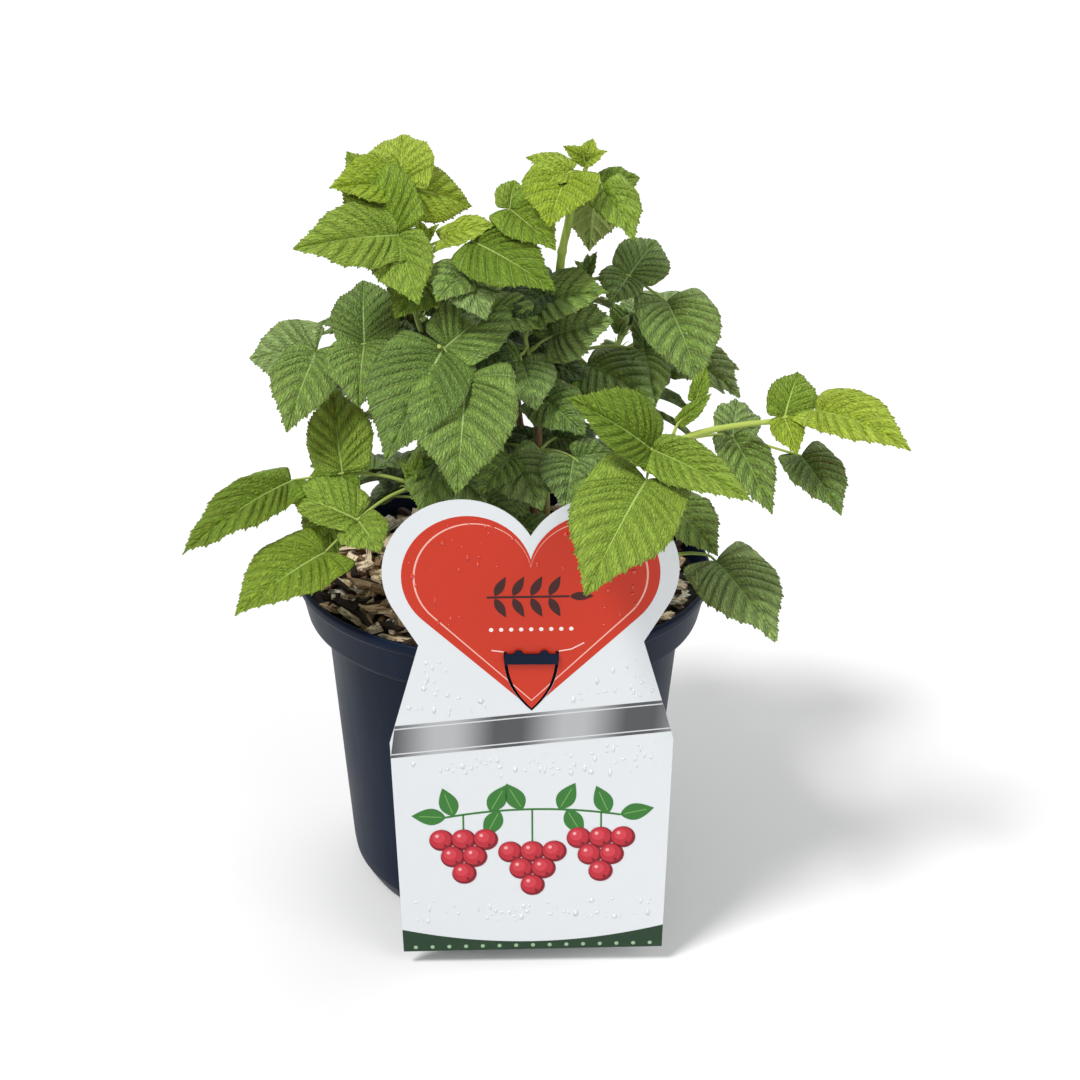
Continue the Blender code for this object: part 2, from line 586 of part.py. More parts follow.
def build_bar(shape):
    """The bar that holds the card: two posts off the rim, the bar and its two lugs."""
    low, high = CARD_THICK + CLEAR, CARD_THICK + CLEAR + BAR_THICK
    add_box(shape, (-BAR_HALF, BAR_HALF), (BAR_FOOT, BAR_FOOT + BAR_HEIGHT), (low, high))
    for side in (-1, 1):
        middle = side * LUG_APART / 2
        add_lug(shape, middle, BAR_FOOT + BAR_HEIGHT - 0.3, low + 0.1, high - 0.1)


def build_posts(shape):
    for side in (-1, 1):
        edge = side * (BAR_HALF - 0.05)
        inner = side * (BAR_HALF - POST_WIDTH)
        add_box(shape, sorted((edge, inner)), (BAR_FOOT + 0.1, POST_TOP),
                (POST_BACK, CARD_THICK + CLEAR + 0.5))


def add_box(shape, across, height, out):
    """A box of the card's frame, given by its limits along the width, up and outwards."""
    corners = [[[shape.verts.new(card_point(CARD_X + a, h, o)) for o in out] for h in height] for a in across]
    (a, b), (c, d) = corners[0]
    (e, f), (g, h) = corners[1]
    for face in ((a, c, d, b), (e, f, h, g), (a, b, f, e), (c, g, h, d), (a, e, g, c), (b, d, h, f)):
        shape.faces.new(face)


def add_lug(shape, middle, foot, low, high):
    """A half round lug that stands on the bar."""
    steps = 6
    rings = []
    for out in (low, high):
        arc = [math.pi * step / steps for step in range(steps + 1)]
        rings.append([shape.verts.new(card_point(CARD_X + middle + LUG_RADIUS * math.cos(turn),
                                                 foot + LUG_RADIUS * math.sin(turn), out)) for turn in arc])
    shape.faces.new(rings[0])
    shape.faces.new(rings[1])
    for index in range(steps + 1):
        shape.faces.new((rings[0][index - 1], rings[0][index], rings[1][index], rings[1][index - 1]))


def build_drains(shape):
    for hole in range(DRAIN_COUNT):
        turn = 2 * math.pi * hole / DRAIN_COUNT
        x, y = DRAIN_CIRCLE * math.cos(turn), DRAIN_CIRCLE * math.sin(turn)
        add_tube(shape, [Vector((x, y, -2)), Vector((x, y, FLOOR + 2))], DRAIN_RADIUS, DRAIN_RADIUS, 8)


def cut(body, tool):
    """Cuts a tool away from a body and removes the tool."""
    difference = body.modifiers.new("cut", "BOOLEAN")
    difference.operation = "DIFFERENCE"
    difference.object = tool
    difference.solver = "EXACT"
    joined = bpy.data.meshes.new_from_object(body.evaluated_get(bpy.context.evaluated_depsgraph_get()))
    body.modifiers.remove(difference)
    body.data = joined
    bpy.data.objects.remove(tool)


def make_pot():
    pot = new_object("pot", build_pot, POT_NAVY)
    cut(pot, new_object("drains", build_drains, POT_NAVY))
    pieces = bpy.data.collections.new("bar_pieces")
    bpy.context.scene.collection.children.link(pieces)
    for name, builder in (("posts", build_posts), ("bar", build_bar)):
        piece = new_object(name, builder, POT_NAVY)
        bpy.context.scene.collection.objects.unlink(piece)
        pieces.objects.link(piece)
    fuse(pot, pieces)
    new_object("mulch_and_compost", build_fill, COMPOST_BROWN)


def make_card():
    def build_card(shape):
        add_plate(shape, card_outline(), 0, CARD_THICK)

    def build_slit(shape):
        band = tongue_outline(SLIT) + tongue_outline(0)[::-1]
        add_plate(shape, band, -2, CARD_THICK + 2)

    card = new_object("label_card", build_card, CARD_WHITE)
    cut(card, new_object("slit", build_slit, CARD_WHITE))


def make_plant():
    for name, cane in CANES.items():
        def build_cane(shape):
            add_tube(shape, cane_path(name), cane.foot, cane.tip, CANE_SIDES, level_foot=True)

        new_object(name, build_cane, cane.finish)
    for name in MASSES:
        leaves = [leaf for leaf in LEAVES if leaf.mass == name]
        make_mass(name, leaves or rear_leaves(name))


for leftover in list(bpy.data.objects):
    bpy.data.objects.remove(leftover)
make_pot()
make_card()
make_plant()
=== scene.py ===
import json
import math
import random
from collections import namedtuple

import bmesh
import bpy
import numpy as np
from mathutils import Matrix, Vector

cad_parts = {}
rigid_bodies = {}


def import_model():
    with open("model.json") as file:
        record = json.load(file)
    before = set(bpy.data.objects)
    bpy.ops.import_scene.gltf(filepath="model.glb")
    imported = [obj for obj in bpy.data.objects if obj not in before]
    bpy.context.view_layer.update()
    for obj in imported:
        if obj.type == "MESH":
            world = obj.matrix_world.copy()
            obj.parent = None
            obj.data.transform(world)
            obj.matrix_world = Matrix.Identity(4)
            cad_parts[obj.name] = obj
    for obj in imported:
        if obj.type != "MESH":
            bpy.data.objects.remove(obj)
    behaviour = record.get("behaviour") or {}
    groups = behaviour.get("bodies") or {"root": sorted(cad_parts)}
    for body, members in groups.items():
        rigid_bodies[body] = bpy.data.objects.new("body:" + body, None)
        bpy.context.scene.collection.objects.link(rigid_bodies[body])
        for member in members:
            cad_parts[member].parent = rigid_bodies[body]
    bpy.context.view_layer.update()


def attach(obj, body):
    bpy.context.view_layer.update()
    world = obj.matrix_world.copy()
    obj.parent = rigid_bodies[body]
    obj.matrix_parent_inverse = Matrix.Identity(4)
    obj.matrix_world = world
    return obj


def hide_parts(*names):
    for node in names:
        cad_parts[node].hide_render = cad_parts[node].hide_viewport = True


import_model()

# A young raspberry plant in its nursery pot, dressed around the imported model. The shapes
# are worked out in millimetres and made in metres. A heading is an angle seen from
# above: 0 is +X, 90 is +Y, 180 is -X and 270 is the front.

MM = 0.001

# Pot
# A tapered round pot moulded in dark blue-grey plastic, with a wide rim band, a turned
# lip and eight drain holes in its floor. It carries all that follows.
POT_HEIGHT = 187.0
RIM_RADIUS = 115.0
POT_WALL = 1.6
POT_FLOOR = 2.0
BAND_FOOT = 161.0
BAND_RADIUS = 109.0
NECK_RADIUS = 98.7
FOOT_RADIUS = 79.0
LIP_FOOT = 180.4
DRAIN_COUNT = 8
DRAIN_RADIUS = 4.5
DRAIN_CIRCLE = 60.0
BASE_RADIUS, BASE_TOP = 87.0, 18.0
FOOT_CURVE = [(80.5, 2.5), (82.5, 5.5), (86.0, 11.5), (BASE_RADIUS, BASE_TOP)]
POT_STEPS = 160
POT_COLOUR = (0.003, 0.009, 0.026)
POT_WORN = (0.005, 0.012, 0.030)
POT_DUST = (0.009, 0.017, 0.037)


def finish_named(name, colour, roughness, shine=0.5, **direct):
    """A plain finish: one colour, roughness and shine, with any other values set directly."""
    material = bpy.data.materials.new(name)
    material.use_nodes = True
    shader = material.node_tree.nodes["Principled BSDF"]
    shader.inputs["Base Color"].default_value = (*colour, 1)
    shader.inputs["Roughness"].default_value = roughness
    shader.inputs["Specular IOR Level"].default_value = shine
    for label, value in direct.items():
        shader.inputs[label.replace("_", " ").title()].default_value = value
    return material


def add_node(tree, kind, inputs=None, **settings):
    """A node with its settings, its inputs given as plain values or as sockets to join."""
    node = tree.nodes.new(kind)
    for label, value in settings.items():
        setattr(node, label, value)
    for label, value in (inputs or {}).items():
        if isinstance(value, bpy.types.NodeSocket):
            tree.links.new(value, node.inputs[label])
        else:
            node.inputs[label].default_value = value
    return node


def maths(tree, first, second, operation="MULTIPLY"):
    """A sum on two numbers, each given as a value or a socket."""
    return add_node(tree, "ShaderNodeMath", {0: first, 1: second}, operation=operation).outputs[0]


def vectors(tree, first, second, operation="ADD"):
    """A sum on two vectors, or on a vector and a number where it is scaled."""
    last = "Scale" if operation == "SCALE" else 1
    return add_node(tree, "ShaderNodeVectorMath", {0: first, last: second}, operation=operation).outputs[0]


def noise_of(tree, place, scale, detail=4.0):
    """A noise over a place, as a number and as a colour."""
    inputs = {"Vector": place, "Scale": scale, "Detail": detail}
    return add_node(tree, "ShaderNodeTexNoise", inputs).outputs


def grain_of(tree, scale, stretch=(1, 1, 1), detail=4.0):
    """A noise on the piece's own coordinates, in metres, drawn out along an axis."""
    place = add_node(tree, "ShaderNodeTexCoord")
    turned = add_node(tree, "ShaderNodeMapping", {"Vector": place.outputs["Object"], "Scale": stretch})
    return noise_of(tree, turned.outputs[0], scale, detail)["Fac"]


def ramp_of(tree, factor, *stops):
    """A colour ramp with stops given as a place and a colour."""
    ramp = add_node(tree, "ShaderNodeValToRGB", {"Fac": factor})
    while len(ramp.color_ramp.elements) < len(stops):
        ramp.color_ramp.elements.new(0.5)
    for element, (place, colour) in zip(ramp.color_ramp.elements, stops):
        element.position = place
        element.color = (*colour, 1)
    return ramp.outputs["Color"]


def add_bump(material, height, distance, strength=1.0):
    """Gives a finish its relief from a height pattern."""
    tree = material.node_tree
    shader = tree.nodes["Principled BSDF"]
    under = shader.inputs["Normal"].links
    inputs = {"Height": height, "Distance": distance, "Strength": strength}
    if under:
        inputs["Normal"] = under[0].from_socket
    bump = add_node(tree, "ShaderNodeBump", inputs)
    tree.links.new(bump.outputs["Normal"], shader.inputs["Normal"])


def linked(name, data):
    """A new object of the scene, at the origin."""
    made = bpy.data.objects.new(name, data)
    bpy.context.scene.collection.objects.link(made)
    return made


def mesh_of(name, shape):
    """Turns a shape built up by hand into a mesh."""
    mesh = bpy.data.meshes.new(name)
    shape.to_mesh(mesh)
    shape.free()
    return mesh


def piece_from(name, points, faces, materials, face_slots=None, smooth=True):
    """A mesh piece at the origin, from points in millimetres."""
    mesh = bpy.data.meshes.new(name)
    mesh.from_pydata([tuple(point) for point in np.asarray(points, float) * MM], [], faces)
    for material in materials:
        mesh.materials.append(material)
    if face_slots is not None:
        mesh.polygons.foreach_set("material_index", np.asarray(face_slots, np.int32))
    mesh.polygons.foreach_set("use_smooth", np.full(len(mesh.polygons), smooth))
    return linked(name, mesh)


def turned_piece(name, profile, steps, materials):
    """A closed turned body: the profile runs from the axis round the wall to the axis."""
    points, rings, faces = [], [], []
    for radius, height in profile:
        count = 1 if radius == 0 else steps
        rings.append([len(points) + step for step in range(count)])
        for step in range(count):
            turn = 2 * math.pi * step / steps
            points.append((radius * math.cos(turn), radius * math.sin(turn), height))
    for lower, upper in zip(rings, rings[1:]):
        for step in range(steps):
            after = (step + 1) % steps
            if len(lower) == 1:
                faces.append((lower[0], upper[after], upper[step]))
            elif len(upper) == 1:
                faces.append((lower[step], lower[after], upper[0]))
            else:
                faces.append((lower[step], lower[after], upper[after], upper[step]))
    return piece_from(name, points, faces, materials)


def rounded(profile, radius, steps=4):
    """The profile with each inner corner turned into a short arc."""
    result = [profile[0]]
    for before, corner, after in zip(profile, profile[1:], profile[2:]):
        corner = Vector(corner)
        reach = []
        for other in (before, after):
            way = Vector(other) - corner
            reach.append(corner + way.normalized() * min(radius, way.length * 0.45))
        for step in range(steps + 1):
            t = step / steps
            arc = reach[0] * (1 - t) ** 2 + corner * 2 * t * (1 - t) + reach[1] * t ** 2
            result.append(tuple(arc))
    return result + [profile[-1]]


def plain_copy(piece):
    """Makes a piece's modifiers part of its mesh."""
    view = bpy.context.evaluated_depsgraph_get()
    mesh = bpy.data.meshes.new_from_object(piece.evaluated_get(view))
    piece.modifiers.clear()
    piece.data = mesh
    return piece


def cut_away(piece, tool):
    """Cuts a tool out of a piece and removes the tool."""
    difference = piece.modifiers.new("cut", "BOOLEAN")
    difference.operation = "DIFFERENCE"
    difference.object = tool
    plain_copy(piece)
    bpy.data.objects.remove(tool)


def pot_finish():
    """Satin plastic with fine moulded grain, patches of dust and faint upright scuffs."""
    material = finish_named("pot_plastic", POT_COLOUR, 0.46, 0.09)
    tree = material.node_tree
    shader = tree.nodes["Principled BSDF"]
    clouds = grain_of(tree, 26, (1, 1, 0.5))
    streaks = grain_of(tree, 140, (1, 1, 0.06))
    both = maths(tree, clouds, streaks)
    colour = ramp_of(tree, both, (0.2, POT_COLOUR), (0.36, POT_WORN), (0.56, POT_DUST))
    tree.links.new(colour, shader.inputs["Base Color"])
    rough = add_node(tree, "ShaderNodeMapRange", {"Value": clouds, "To Min": 0.34, "To Max": 0.56})
    tree.links.new(rough.outputs[0], shader.inputs["Roughness"])
    add_bump(material, grain_of(tree, 1600, detail=2), 0.00006, 0.6)
    add_bump(material, streaks, 0.0002, 0.5)
    return material


pot_plastic = pot_finish()
pot_outer = [(0, 0), (FOOT_RADIUS, 0), *FOOT_CURVE,
             (NECK_RADIUS, BAND_FOOT - 3), (BAND_RADIUS - 1, BAND_FOOT), (BAND_RADIUS, BAND_FOOT + 2),
             (112.9, LIP_FOOT), (RIM_RADIUS - 0.2, LIP_FOOT + 1.2), (RIM_RADIUS, POT_HEIGHT - 1.4),
             (RIM_RADIUS - 1, POT_HEIGHT)]
pot_inner = [(112.6, POT_HEIGHT), (111.0, LIP_FOOT), (BAND_RADIUS - POT_WALL, BAND_FOOT + 3.5),
             (NECK_RADIUS - POT_WALL, BAND_FOOT + 1), (BASE_RADIUS - POT_WALL, BASE_TOP), (84.4, 12.5),
             (FOOT_RADIUS - 1, POT_FLOOR), (0, POT_FLOOR)]
pot = turned_piece("pot_wall", rounded(pot_outer + pot_inner, 1.2), POT_STEPS, [pot_plastic])
drains = bmesh.new()
for hole in range(DRAIN_COUNT):
    turn = 2 * math.pi * hole / DRAIN_COUNT
    place = Matrix.Translation(Vector((math.cos(turn), math.sin(turn), 0)) * DRAIN_CIRCLE * MM)
    bmesh.ops.create_cone(drains, cap_ends=True, segments=24, radius1=DRAIN_RADIUS * MM,
                          radius2=DRAIN_RADIUS * MM, depth=12 * MM, matrix=place)
cut_away(pot, linked("drains", mesh_of("drains", drains)))
pot.data.set_sharp_from_angle(angle=math.radians(50))
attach(pot, "root")
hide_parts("pot")

# Card holder
# A small bar with two half-round lugs, moulded with the rim. The card's tongue is
# pushed down behind it.
CARD_TURN = math.radians(0.5)
CARD_ROLL = math.radians(0.9)
CARD_X = 12.0
CARD_THICK = 0.8
CARD_BACK = RIM_RADIUS + 0.4
BAR_FOOT, BAR_HEIGHT, BAR_HALF, BAR_THICK = 184.0, 5.5, 13.6, 1.7
POST_WIDTH, POST_TOP, POST_BACK = 1.6, 186.6, -6.0
LUG_RADIUS, LUG_APART, LUG_STEPS = 2.4, 13.0, 12
CLEAR = 0.3                      # the gap between parts that all but touch


def card_point(across, height, out):
    """A point beside the pot's front: along the card's width, up, and out from its back."""
    away = CARD_BACK + out
    return (math.cos(CARD_TURN) * across + math.sin(CARD_TURN) * away,
            math.sin(CARD_TURN) * across - math.cos(CARD_TURN) * away, height)


def add_block(shape, across, height, out):
    """A box of the card's frame, given by its limits along the width, up and outwards."""
    made = bmesh.ops.create_cube(shape, size=1)["verts"]
    for corner in made:
        side = [limits[0] if value < 0 else limits[1]
                for limits, value in zip((across, out, height), corner.co)]
        corner.co = Vector(card_point(CARD_X + side[0], side[2], side[1])) * MM


def add_half_round(shape, middle, foot, out):
    """A half-round lug that stands on the bar."""
    rings = []
    for depth in out:
        turns = [math.pi * step / LUG_STEPS for step in range(LUG_STEPS + 1)]
        corners = [card_point(CARD_X + middle + LUG_RADIUS * math.cos(turn),
                              foot + LUG_RADIUS * math.sin(turn), depth) for turn in turns]
        rings.append([shape.verts.new(Vector(corner) * MM) for corner in corners])
    back, front = rings
    shape.faces.new(back)
    shape.faces.new(front)
    for step in range(LUG_STEPS + 1):
        shape.faces.new((back[step - 1], back[step], front[step], front[step - 1]))


holder = bmesh.new()
bar_out = (CARD_THICK + CLEAR, CARD_THICK + CLEAR + BAR_THICK)
lug_out = (bar_out[0] + 0.1, bar_out[1] - 0.1)
add_block(holder, (-BAR_HALF, BAR_HALF), (BAR_FOOT, BAR_FOOT + BAR_HEIGHT), bar_out)
for side in (-1, 1):
    add_half_round(holder, side * LUG_APART / 2, BAR_FOOT + BAR_HEIGHT - 0.3, lug_out)
    edges = sorted((side * (BAR_HALF - 0.05), side * (BAR_HALF - POST_WIDTH)))
    add_block(holder, edges, (BAR_FOOT + 0.1, POST_TOP), (POST_BACK, bar_out[0] + 0.2))
bmesh.ops.recalc_face_normals(holder, faces=holder.faces)
card_holder = linked("card_holder", mesh_of("card_holder", holder))
card_holder.data.materials.append(pot_plastic)
soften = card_holder.modifiers.new("soften", "BEVEL")
soften.width = 0.35 * MM
soften.segments = 2
plain_copy(card_holder)
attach(card_holder, "root")

# Compost and bark chips
# Dark moist compost fills the pot to just under the lip. Over it lies a mulch of split
# bark and wood chips, tan to brown, that have settled at all angles.
FILL_TOP = 177.0
BED_TOP, BED_RADIUS = 175.0, 110.0
CHIP_LENGTH, CHIP_WIDTH, CHIP_THICK = 14.0, 4.8, 2.6
CHIP_SMALLEST, CHIP_LARGEST = (0.45, 0.5, 0.6), (1.45, 1.35, 1.25)
CHIP_KINDS, CHIP_STATIONS = 6, 4     # different shapes, and cross sections along a chip
CHIP_BED_RADIUS = 100.0
CHIP_LAYERS = ((174.6, 0.0066), (177.4, 0.0082), (180.2, 0.0112))    # height in mm, spacing in metres
# The palest tones are partly painted light, chips made lighter to stand in for direct light. The near-black
# ones are partly painted shade, standing in for the shaded gaps between chips. The rest is the chips' own
# range of tan to brown.
CHIP_COLOURS = ((0.97, 0.79, 0.51), (0.66, 0.46, 0.26), (1.0, 0.91, 0.73), (0.36, 0.23, 0.12),
                (0.024, 0.013, 0.007), (0.90, 0.72, 0.50), (0.060, 0.034, 0.018))


def new_tree(name, *sockets):
    """A Geometry Nodes tree with named inputs, each with its kind and its usual value."""
    tree = bpy.data.node_groups.new(name, "GeometryNodeTree")
    tree.interface.new_socket("Geometry", in_out="INPUT", socket_type="NodeSocketGeometry")
    for label, kind, value in sockets:
        socket = tree.interface.new_socket(label, in_out="INPUT", socket_type="NodeSocket" + kind)
        if value is not None:
            socket.default_value = value
    tree.interface.new_socket("Geometry", in_out="OUTPUT", socket_type="NodeSocketGeometry")
    return tree, add_node(tree, "NodeGroupInput").outputs


def close_tree(tree, result):
    """Ends a tree at its output."""
    add_node(tree, "NodeGroupOutput", {"Geometry": result})
    return tree


def grown(name, carrier, tree, **values):
    """Runs a tree on a carrier and keeps the result as a plain mesh piece."""
    growth = carrier.modifiers.new("growth", "NODES")
    growth.node_group = tree
    for item in tree.interface.items_tree:
        label = item.name.lower().replace(" ", "_")
        if item.in_out == "INPUT" and label in values:
            growth[item.identifier] = values[label]
    plain_copy(carrier)
    carrier.name = name
    carrier.data.name = name
    return carrier


def random_of(tree, kind, low, high, seed):
    """A random value for each point, between two limits."""
    first = {"FLOAT_VECTOR": 0, "FLOAT": 2, "INT": 4}[kind]
    node = add_node(tree, "FunctionNodeRandomValue", data_type=kind)
    for index, value in ((first, low), (first + 1, high), (8, seed)):
        if isinstance(value, bpy.types.NodeSocket):
            tree.links.new(value, node.inputs[index])
        else:
            node.inputs[index].default_value = value
    return node.outputs[{"FLOAT_VECTOR": 0, "FLOAT": 1, "INT": 2}[kind]]


def spread_points(tree, given):
    """Points dealt out over the carrier's faces, no two of them closer than the spacing."""
    return add_node(tree, "GeometryNodeDistributePointsOnFaces",
                    {"Mesh": given["Geometry"], "Distance Min": given["Spacing"],
                     "Density Max": given["Density"], "Seed": given["Seed"]}, distribute_method="POISSON")


def planted(tree, points, piece, sizes):
    """A piece on each point, upright on its face, as plain geometry."""
    inputs = {"Points": points.outputs["Points"], "Instance": piece,
              "Rotation": points.outputs["Rotation"], "Scale": sizes}
    placed = add_node(tree, "GeometryNodeInstanceOnPoints", inputs)
    return add_node(tree, "GeometryNodeRealizeInstances", {"Geometry": placed.outputs[0]}).outputs[0]


def painted(tree, geometry, material, **chosen):
    """Gives a geometry its material, or only the chosen part of it."""
    inputs = {"Geometry": geometry, "Material": material, **chosen}
    return add_node(tree, "GeometryNodeSetMaterial", inputs).outputs[0]


def scatter_tree(colour_count):
    """Scatters the pieces of a collection over a surface, at all angles and in all tones."""
    sockets = [("Pieces", "Collection", None), ("Spacing", "Float", 0.003), ("Density", "Float", 9000.0),
               ("Tilt", "Float", 0.5), ("Lift", "Float", 0.002), ("Seed", "Int", 1)]
    sockets += [(f"Tone {number}", "Material", None) for number in range(colour_count)]
    tree, given = new_tree("scatter", *sockets)
    points = spread_points(tree, given)
    lift = add_node(tree, "ShaderNodeCombineXYZ",
                    {"Z": random_of(tree, "FLOAT", 0.0, given["Lift"], given["Seed"])})
    settled = add_node(tree, "GeometryNodeSetPosition",
                       {"Geometry": points.outputs["Points"], "Offset": lift.outputs[0]})
    back = maths(tree, given["Tilt"], -1.0)
    low = add_node(tree, "ShaderNodeCombineXYZ", {"X": back, "Y": back, "Z": 0.0})
    high = add_node(tree, "ShaderNodeCombineXYZ", {"X": given["Tilt"], "Y": given["Tilt"], "Z": 6.283})
    turns = random_of(tree, "FLOAT_VECTOR", low.outputs[0], high.outputs[0], given["Seed"])
    picked = add_node(tree, "GeometryNodeCollectionInfo",
                      {"Collection": given["Pieces"], "Separate Children": True, "Reset Children": True})
    placed = add_node(tree, "GeometryNodeInstanceOnPoints",
                      {"Points": settled.outputs[0], "Instance": picked.outputs[0], "Pick Instance": True,
                       "Rotation": turns,
                       "Scale": random_of(tree, "FLOAT_VECTOR", CHIP_SMALLEST, CHIP_LARGEST, 5)})
    toned = add_node(tree, "GeometryNodeStoreNamedAttribute",
                     {"Geometry": placed.outputs[0], "Name": "tone",
                      "Value": random_of(tree, "INT", 0, colour_count - 1, 11)},
                     data_type="INT", domain="INSTANCE")
    result = add_node(tree, "GeometryNodeRealizeInstances", {"Geometry": toned.outputs[0]}).outputs[0]
    tone = add_node(tree, "GeometryNodeInputNamedAttribute", {"Name": "tone"}, data_type="INT").outputs[0]
    for number in range(colour_count):
        chosen = add_node(tree, "FunctionNodeCompare", {2: tone, 3: number},
                          data_type="INT", operation="EQUAL")
        result = painted(tree, result, given[f"Tone {number}"], Selection=chosen.outputs[0])
    return close_tree(tree, result)


def chip_shape(number):
    """One split chip: a square-edged splinter, bent a little, with ends torn at a slant."""
    chance = random.Random(number)
    corners = ((-1, -1), (1, -1), (1, 1), (-1, 1))
    slants = [chance.uniform(-2.2, 2.2) for _ in corners]
    bend, twist = chance.uniform(-0.8, 0.8), chance.uniform(-0.35, 0.35)
    points, faces = [], []
    for station in range(CHIP_STATIONS):
        along = station / (CHIP_STATIONS - 1) * 2 - 1
        for (across, up), slant in zip(corners, slants):
            y = across * CHIP_WIDTH / 2 * chance.uniform(0.72, 1.08)
            z = up * CHIP_THICK / 2 * chance.uniform(0.6, 1.1)
            turn = twist * along
            points.append((along * CHIP_LENGTH / 2 + slant * abs(along) ** 3 * (0.6 if along < 0 else -0.6),
                           y * math.cos(turn) - z * math.sin(turn),
                           y * math.sin(turn) + z * math.cos(turn) + bend * along ** 2))
    for station in range(CHIP_STATIONS - 1):
        for side in range(4):
            a, b = station * 4 + side, station * 4 + (side + 1) % 4
            faces.append((a, b, b + 4, a + 4))
    faces.append((3, 2, 1, 0))
    faces.append(tuple(range((CHIP_STATIONS - 1) * 4, CHIP_STATIONS * 4)))
    chip = piece_from(f"chip_{number}", points, faces, [], smooth=False)
    fibre = [(x * 0.12, y + 20 * number, z) for x, y, z in points]
    chip.data.attributes.new("fibre", "FLOAT_VECTOR", "POINT").data.foreach_set("vector", np.ravel(fibre))
    return chip


def shaded(colour, share):
    """A colour made darker or lighter."""
    return tuple(part * share for part in colour)


def chip_finish(number, colour):
    """Split wood: streaks and ridges that run along each chip's own fibres."""
    material = finish_named(f"chip_tone_{number}", colour, 0.78, 0.3)
    tree = material.node_tree
    along = add_node(tree, "ShaderNodeAttribute", attribute_name="fibre").outputs["Vector"]
    fibres = noise_of(tree, along, 1.5)["Fac"]
    streaked = ramp_of(tree, fibres, (0.38, shaded(colour, 0.16)), (0.48, colour))
    tree.links.new(streaked, tree.nodes["Principled BSDF"].inputs["Base Color"])
    add_bump(material, fibres, 0.0010, 1.0)
    return material


chips = bpy.data.collections.new("chips")
bpy.context.scene.collection.children.link(chips)
for number in range(CHIP_KINDS):
    chip = chip_shape(number)
    bpy.context.scene.collection.objects.unlink(chip)
    chips.objects.link(chip)

compost_finish = finish_named("compost", (0.010, 0.006, 0.004), 0.95)
add_bump(compost_finish, grain_of(compost_finish.node_tree, 420, detail=6), 0.002)
bed_profile = [(0, POT_FLOOR + 0.3), (FOOT_RADIUS - 1.4, POT_FLOOR + 0.4), (84.0, 12.5),
               (BASE_RADIUS - 2, BASE_TOP), (NECK_RADIUS - 2, BAND_FOOT + 1.4),
               (BAND_RADIUS - 2, BAND_FOOT + 3.9), (BED_RADIUS, BED_TOP)]
bed_profile += [(BED_RADIUS * (1 - step / 12), BED_TOP - 0.8 * (step % 2)) for step in range(1, 13)]
compost = turned_piece("compost", bed_profile, POT_STEPS // 2, [compost_finish])
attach(compost, "root")
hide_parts("mulch_and_compost")

chip_tree = scatter_tree(len(CHIP_COLOURS))
chip_tones = {f"tone_{number}": chip_finish(number, colour) for number, colour in enumerate(CHIP_COLOURS)}
for layer, (height, spacing) in enumerate(CHIP_LAYERS):
    bed = turned_piece("bed", [(0, height), (CHIP_BED_RADIUS - layer, height)], 60, [])
    mulch = grown(f"bark_chips_{layer + 1}", bed, chip_tree, pieces=chips, spacing=spacing, density=90000.0,
                  tilt=0.30 + 0.10 * layer, lift=0.0020, seed=layer + 3, **chip_tones)
    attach(mulch, "root")
for chip in list(chips.objects):
    bpy.data.objects.remove(chip)
bpy.data.collections.remove(chips)

# Picture card
# A die-cut sheet of white plastic with a heart-shaped top, hung on the pot's front by a
# tongue that a slit frees. Its back is plain.
CARD_FOOT, CARD_FOOT_HALF = 10.0, 69.5
SHOULDER = (72.7, 139.0)
WAIST = (56.5, 195.0)
LOBE_CENTRE = (34.2, 234.5)
LOBE_RADIUS = 39.2
TONGUE_HALF, SLIT, TONGUE_TOP, TONGUE_POINT = 12.2, 1.7, 190.6, 158.0
INK = 0.05
CARD_WHITE = (0.665, 0.690, 0.712)
CARD_RED = (0.525, 0.029, 0.008)
BAND_GREY, BAND_SHINE = (0.085, 0.088, 0.092), (0.42, 0.43, 0.44)
STRIP_GREEN = (0.012, 0.040, 0.016)


def rolled(across, height):
    """Turns a point of the card about the middle of the bar by the card's roll."""
    middle = BAR_FOOT + BAR_HEIGHT / 2
    up = height - middle
    return (CARD_X + across * math.cos(CARD_ROLL) - up * math.sin(CARD_ROLL),
            middle + across * math.sin(CARD_ROLL) + up * math.cos(CARD_ROLL))


def heart_half(centre, radius, point, steps=40):
    """The right half of a heart: a round lobe from the cleft, then straight to a point."""
    reach = math.hypot(point[0] - centre[0], point[1] - centre[1])
    cleft = math.acos(-centre[0] / radius)
    last = math.atan2(point[1] - centre[1], point[0] - centre[0]) + math.acos(radius / reach)
    turns = [cleft + (last - cleft) * step / steps for step in range(steps + 1)]
    return [(centre[0] + radius * math.cos(turn), centre[1] + radius * math.sin(turn)) for turn in turns]


def both_halves(half):
    """A half outline from the top middle, and its mirror image back up."""
    return half + [(-across, height) for across, height in half[::-1] if across > 0.01]


def card_edge(height):
    """The card's half width between its waist and its foot."""
    if height > SHOULDER[1]:
        share = (WAIST[1] - height) / (WAIST[1] - SHOULDER[1])
        return WAIST[0] + (SHOULDER[0] - WAIST[0]) * share
    share = (SHOULDER[1] - height) / (SHOULDER[1] - CARD_FOOT)
    return SHOULDER[0] + (CARD_FOOT_HALF - SHOULDER[0]) * share


def tongue_outline(grow):
    """The tongue's shield outline from its top left round its point, grown by a margin."""
    half = TONGUE_HALF + grow
    point = TONGUE_POINT - grow
    right = []
    for step in range(15):
        share = step / 14
        right.append((half * (1 - share ** 2.6), TONGUE_TOP + (point - TONGUE_TOP) * share))
    return [(-across, height) for across, height in right[:-1]] + [(0, point)] + right[-2::-1]


